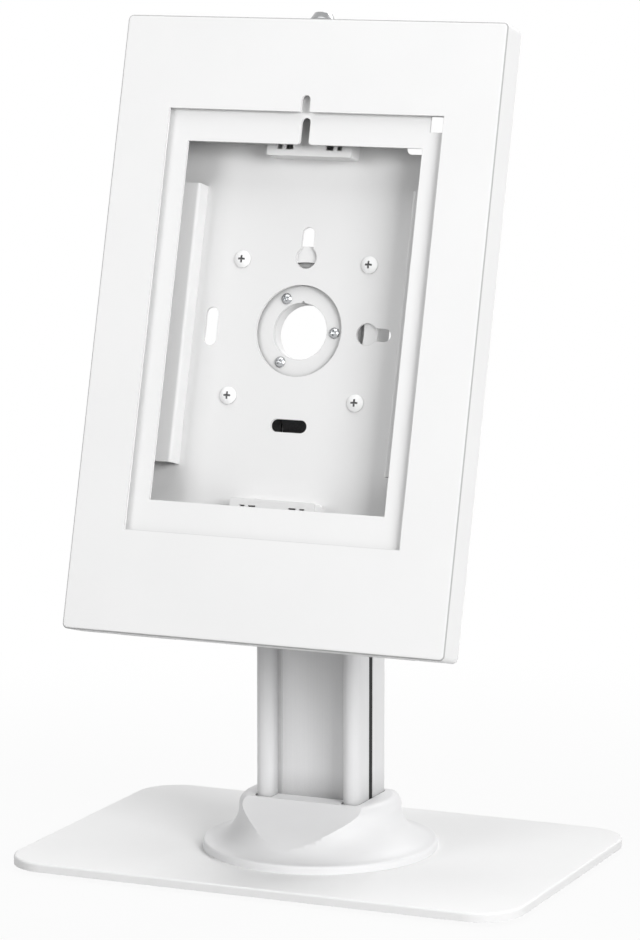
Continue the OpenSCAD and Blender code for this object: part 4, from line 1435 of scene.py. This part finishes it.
@dataclass
class CamLock(Head):
    """Lock in the top of the front cover.

    Attributes:
        seat: y and z of the lock's axis on the case's top.
        barrel_d: diameter of the threaded barrel.
        barrel_len: length of the barrel below the case's top.
        head_d: diameter of the head.
        head_h: height of the head.
        bezel_w: width of the bezel's flat top round the plug.
        plug_d: diameter of the plug.
        plug_play: gap between the plug and its bore.
        key_w: half the width of the keyway.
        key_depth: depth of the keyway.
        cam_t: thickness of the cam.
        cam_gap: gap between the barrel and the cam.
        sheet: thickness of the cover's sheet.
        nut: the nut on the barrel.
        cam_screw: the screw that holds the cam.
    """

    seat: tuple[float, float] = (167 * MM, 12.5 * MM)
    barrel_d: float = 12 * MM
    barrel_len: float = 18 * MM
    head_d: float = 14 * MM
    head_h: float = 5 * MM
    bezel_w: float = 1 * MM
    plug_d: float = 7.2 * MM
    plug_play: float = 0.05 * MM
    key_w: float = 0.6 * MM
    key_depth: float = 4 * MM
    cam_t: float = 2 * MM
    cam_gap: float = 0.1 * MM
    sheet: float = 1.5 * MM
    nut: HexNut = HexNut(8.64 * MM, 6.1 * MM, 2.5 * MM)
    cam_screw: Screw = Screw(2.8 * MM, 6 * MM, 3 * MM, 1.8 * MM, rim_h=0.3 * MM, pitch=0.5 * MM)

    def lock_at(self, height: float) -> Matrix:
        """Returns the place at a height above the case's top, on the lock's axis."""
        up = Matrix.Rotation(-math.pi / 2, 4, "X")
        return self.at(0, *self.seat) @ up @ Matrix.Translation((0, 0, height))

    def build(self) -> None:
        """Dresses the lock."""
        self.dress(ZINC, "lock_cam")
        self.soften(0.25 * MM, "lock_cam")
        self.body()
        self.plug()
        seat = self.lock_at(-self.sheet - self.nut.height)
        self.turned("lock_nut", self.nut.turning(), seat, ZINC, hollow=True)
        seat = self.lock_at(-self.barrel_len - self.cam_gap - self.cam_t) @ OVER
        self.turned("cam_screw", self.cam_screw.turning(), seat, ZINC, SHADED_STEEL_RECESS)

    def body(self) -> None:
        """Makes the threaded barrel and the round bezel."""
        bore = self.plug_d / 2 + self.plug_play
        barrel = self.barrel_d / 2
        rim = self.head_d / 2
        band = 0.3 * self.head_h
        top = self.plug_d / 2 + self.bezel_w
        edge = 0.2 * MM
        lip = 0.15 * MM
        rows = Turning(turns(64))
        rows.ring(bore, -self.barrel_len)
        rows.ring(barrel - 0.5 * MM, -self.barrel_len)
        rows.thread(barrel, -self.barrel_len + 0.4 * MM, -1 * MM, 1 * MM)
        rows.ring(barrel, -0.4 * MM)
        rows.ring(barrel, 0.0)
        rows.ring(rim - edge, 0.0)
        rows.ring(rim, edge)
        # The rounded corner between the rim and the bezel's cone.
        rows.ring(rim, band - 0.25 * MM)
        rows.ring(rim - 0.08 * MM, band - 0.06 * MM)
        rows.ring(rim - 0.3 * MM, band + 0.15 * MM)
        # The rounded corner between the cone and the flat top.
        rows.ring(top + 0.3 * MM, self.head_h - 0.22 * MM)
        rows.ring(top + 0.08 * MM, self.head_h - 0.05 * MM)
        rows.ring(top - lip, self.head_h)
        rows.ring(bore + lip, self.head_h)
        rows.ring(bore, self.head_h - lip)
        self.turned("lock_body", rows, self.lock_at(0), CHROME, hollow=True)

    def plug(self) -> None:
        """Makes the plug with its keyway and the square tang for the cam."""
        r = self.plug_d / 2
        top = self.head_h - 0.2 * MM
        low = -self.barrel_len - self.cam_gap
        tang = 0.31 * self.plug_d
        edge = 0.2 * MM
        lip = 0.12 * MM
        key_l = 0.35 * self.plug_d
        keyway = rectangle(self.key_w, key_l)
        rows = Turning(turns(SCREW_STEPS, (math.atan(key_l / self.key_w), math.pi / 4)))
        rows.ring(rectangle(tang, tang), low - self.cam_t)
        rows.ring(rectangle(tang, tang), low)
        rows.ring(r, low)
        rows.ring(r, top - edge)
        rows.ring(r - 0.06 * MM, top - 0.06 * MM)
        rows.ring(r - edge, top)
        rows.ring(between(0.5, circle(r - edge), grown(keyway, lip)), top)
        rows.ring(grown(keyway, lip), top)
        # The keyway takes the recess finish, which paints its shade.
        rows.ring(keyway, top - lip, RECESS)
        rows.ring(keyway, top - self.key_depth, RECESS)
        self.turned("lock_plug", rows, self.lock_at(0), CHROME, SHADED_STEEL_RECESS)


@dataclass(frozen=True)
class Lamp:
    """A soft area lamp.

    Attributes:
        name: name of the lamp.
        place: where it stands.
        size: width and height of its panel.
        power: power, in watts.
    """

    name: str
    place: tuple[float, float, float]
    size: tuple[float, float]
    power: float

    def light(self, aim: Vector) -> None:
        """Adds the lamp.

        Args:
            aim: the point that it faces.
        """
        data = bpy.data.lights.new(self.name, "AREA")
        data.shape = "RECTANGLE"
        data.size, data.size_y = self.size
        data.energy = self.power
        lamp = bpy.data.objects.new(self.name, data)
        lamp.location = self.place
        lamp.rotation_euler = (aim - Vector(self.place)).to_track_quat("-Z", "Y").to_euler()
        lamp.visible_camera = False
        bpy.context.scene.collection.objects.link(lamp)


@dataclass
class Studio:
    """Pale floor, soft lamps, white surroundings and the camera.

    Attributes:
        aim: point that the camera looks at.
        azimuth: the camera's turn from the front to the right, in degrees.
        elevation: its height above the horizon, in degrees.
        distance: its distance from the aim.
        focal_px: focal length, in pixels of the picture.
        picture_h: height of the picture, in pixels.
        sensor: height of the sensor, in millimetres.
        floor_half: half the width of the floor.
        floor_level: height of the floor, just below the feet.
        floor_tone: linear colour of the floor.
        floor_white: share of white that the camera sees on the floor near the stand.
        floor_fade: distances from the stand between which the floor turns all white.
        ambient: strength of the surroundings.
        lamps: the lamps.
    """

    aim: tuple[float, float, float] = (-0.00018, -0.00008, 0.21927)
    azimuth: float = 23.664
    elevation: float = 9.0997
    distance: float = 2.23406
    focal_px: float = 4064.16
    picture_h: float = 940.0
    sensor: float = 36.0
    floor_half: float = 6.0
    floor_level: float = -0.1 * MM
    floor_tone: Colour = grey(0.5)
    floor_white: float = 0.94
    floor_fade: tuple[float, float] = (0.2, 0.6)
    ambient: float = 0.05
    lamps: tuple[Lamp, ...] = (
        Lamp("key", (1.95, -1.22, 0.95), (1.2, 1.0), 49.5),
        Lamp("fill", (-1.45, -1.73, 1.04), (1.0, 1.0), 17.5),
        Lamp("overhead", (0.0, -0.42, 2.58), (2.0, 1.6), 25.0),
        Lamp("rear", (0.0, 1.8, 1.85), (1.2, 1.2), 27.0),
    )

    def build(self) -> None:
        """Sets up the studio."""
        self.floor()
        self.surroundings()
        for lamp in self.lamps:
            lamp.light(Vector(self.aim))
        self.camera()
        bpy.context.scene.view_settings.view_transform = "Standard"

    def seen(self, graph: Graph) -> Wire:
        """Finds what the camera sees, also by way of gloss and glass.

        Args:
            graph: node tree of a material or a world.

        Returns:
            1 for what is seen, 0 for other light.
        """
        rays = ["Is Camera Ray", "Is Glossy Ray", "Is Transmission Ray"]
        first, second, third = [graph.node("ShaderNodeLightPath", output=ray) for ray in rays]
        return first | second | third

    def floor(self) -> None:
        """Lays a pale floor that fades to white and keeps a soft shadow."""
        mesh = bpy.data.meshes.new("floor")
        corners = [(x, y, self.floor_level) for x, y in four(self.floor_half, self.floor_half)]
        mesh.from_pydata(corners, [], [(0, 2, 3, 1)])
        material = bpy.data.materials.new("pale_floor")
        material.use_nodes = True
        graph = Graph(material.node_tree)
        far = graph.node("ShaderNodeVectorMath", {"operation": "LENGTH"}, {0: graph.place()}, "Value")
        white = graph.node("ShaderNodeEmission", {}, {"Color": (1, 1, 1, 1), "Strength": 1.0})
        matt = graph.node("ShaderNodeBsdfDiffuse", {}, {"Color": (*self.floor_tone, 1)})
        fade = graph.ease(far, *self.floor_fade)
        share = self.seen(graph) * (self.floor_white + (1 - self.floor_white) * fade)
        both = graph.node("ShaderNodeMixShader", {}, {0: share, 1: matt, 2: white})
        graph.node("ShaderNodeOutputMaterial", inputs={"Surface": both})
        mesh.materials.append(material)
        floor = bpy.data.objects.new("floor", mesh)
        bpy.context.scene.collection.objects.link(floor)
        LOG.info("floor: %s", material.name)

    def surroundings(self) -> None:
        """Makes the world: white where it is seen, dimmer as a light."""
        world = bpy.data.worlds.new("studio")
        world.use_nodes = True
        graph = Graph(world.node_tree)
        dim = graph.node("ShaderNodeBackground", {}, {"Color": (1, 1, 1, 1), "Strength": self.ambient})
        white = graph.node("ShaderNodeBackground", {}, {"Color": (1, 1, 1, 1), "Strength": 1.0})
        both = graph.node("ShaderNodeMixShader", {}, {0: self.seen(graph), 1: dim, 2: white})
        graph.node("ShaderNodeOutputWorld", inputs={"Surface": both})
        bpy.context.scene.world = world

    def camera(self) -> None:
        """Sets the camera at the picture's viewing angle."""
        turn = math.radians(self.azimuth)
        rise = math.radians(self.elevation)
        level = Vector((math.sin(turn), -math.cos(turn), 0.0))
        back = math.cos(rise) * level + Vector((0.0, 0.0, math.sin(rise)))
        data = bpy.data.cameras.new("camera")
        data.sensor_fit = "VERTICAL"
        data.sensor_height = self.sensor
        data.sensor_width = self.sensor
        data.lens = self.focal_px * self.sensor / self.picture_h
        camera = bpy.data.objects.new("camera", data)
        camera.location = Vector(self.aim) + self.distance * back
        camera.rotation_euler = (-back).to_track_quat("-Z", "Y").to_euler()
        bpy.context.scene.collection.objects.link(camera)
        bpy.context.scene.camera = camera


def main() -> None:
    logging.basicConfig(level=logging.INFO, format="%(message)s")
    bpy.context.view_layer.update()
    for part in (Stand(), TiltHinge(), TurningHub(), Case(), FrontCover(), CamLock(), Studio()):
        LOG.info("%s", type(part).__name__)
        part.build()


if __name__ == "__main__":
    main()
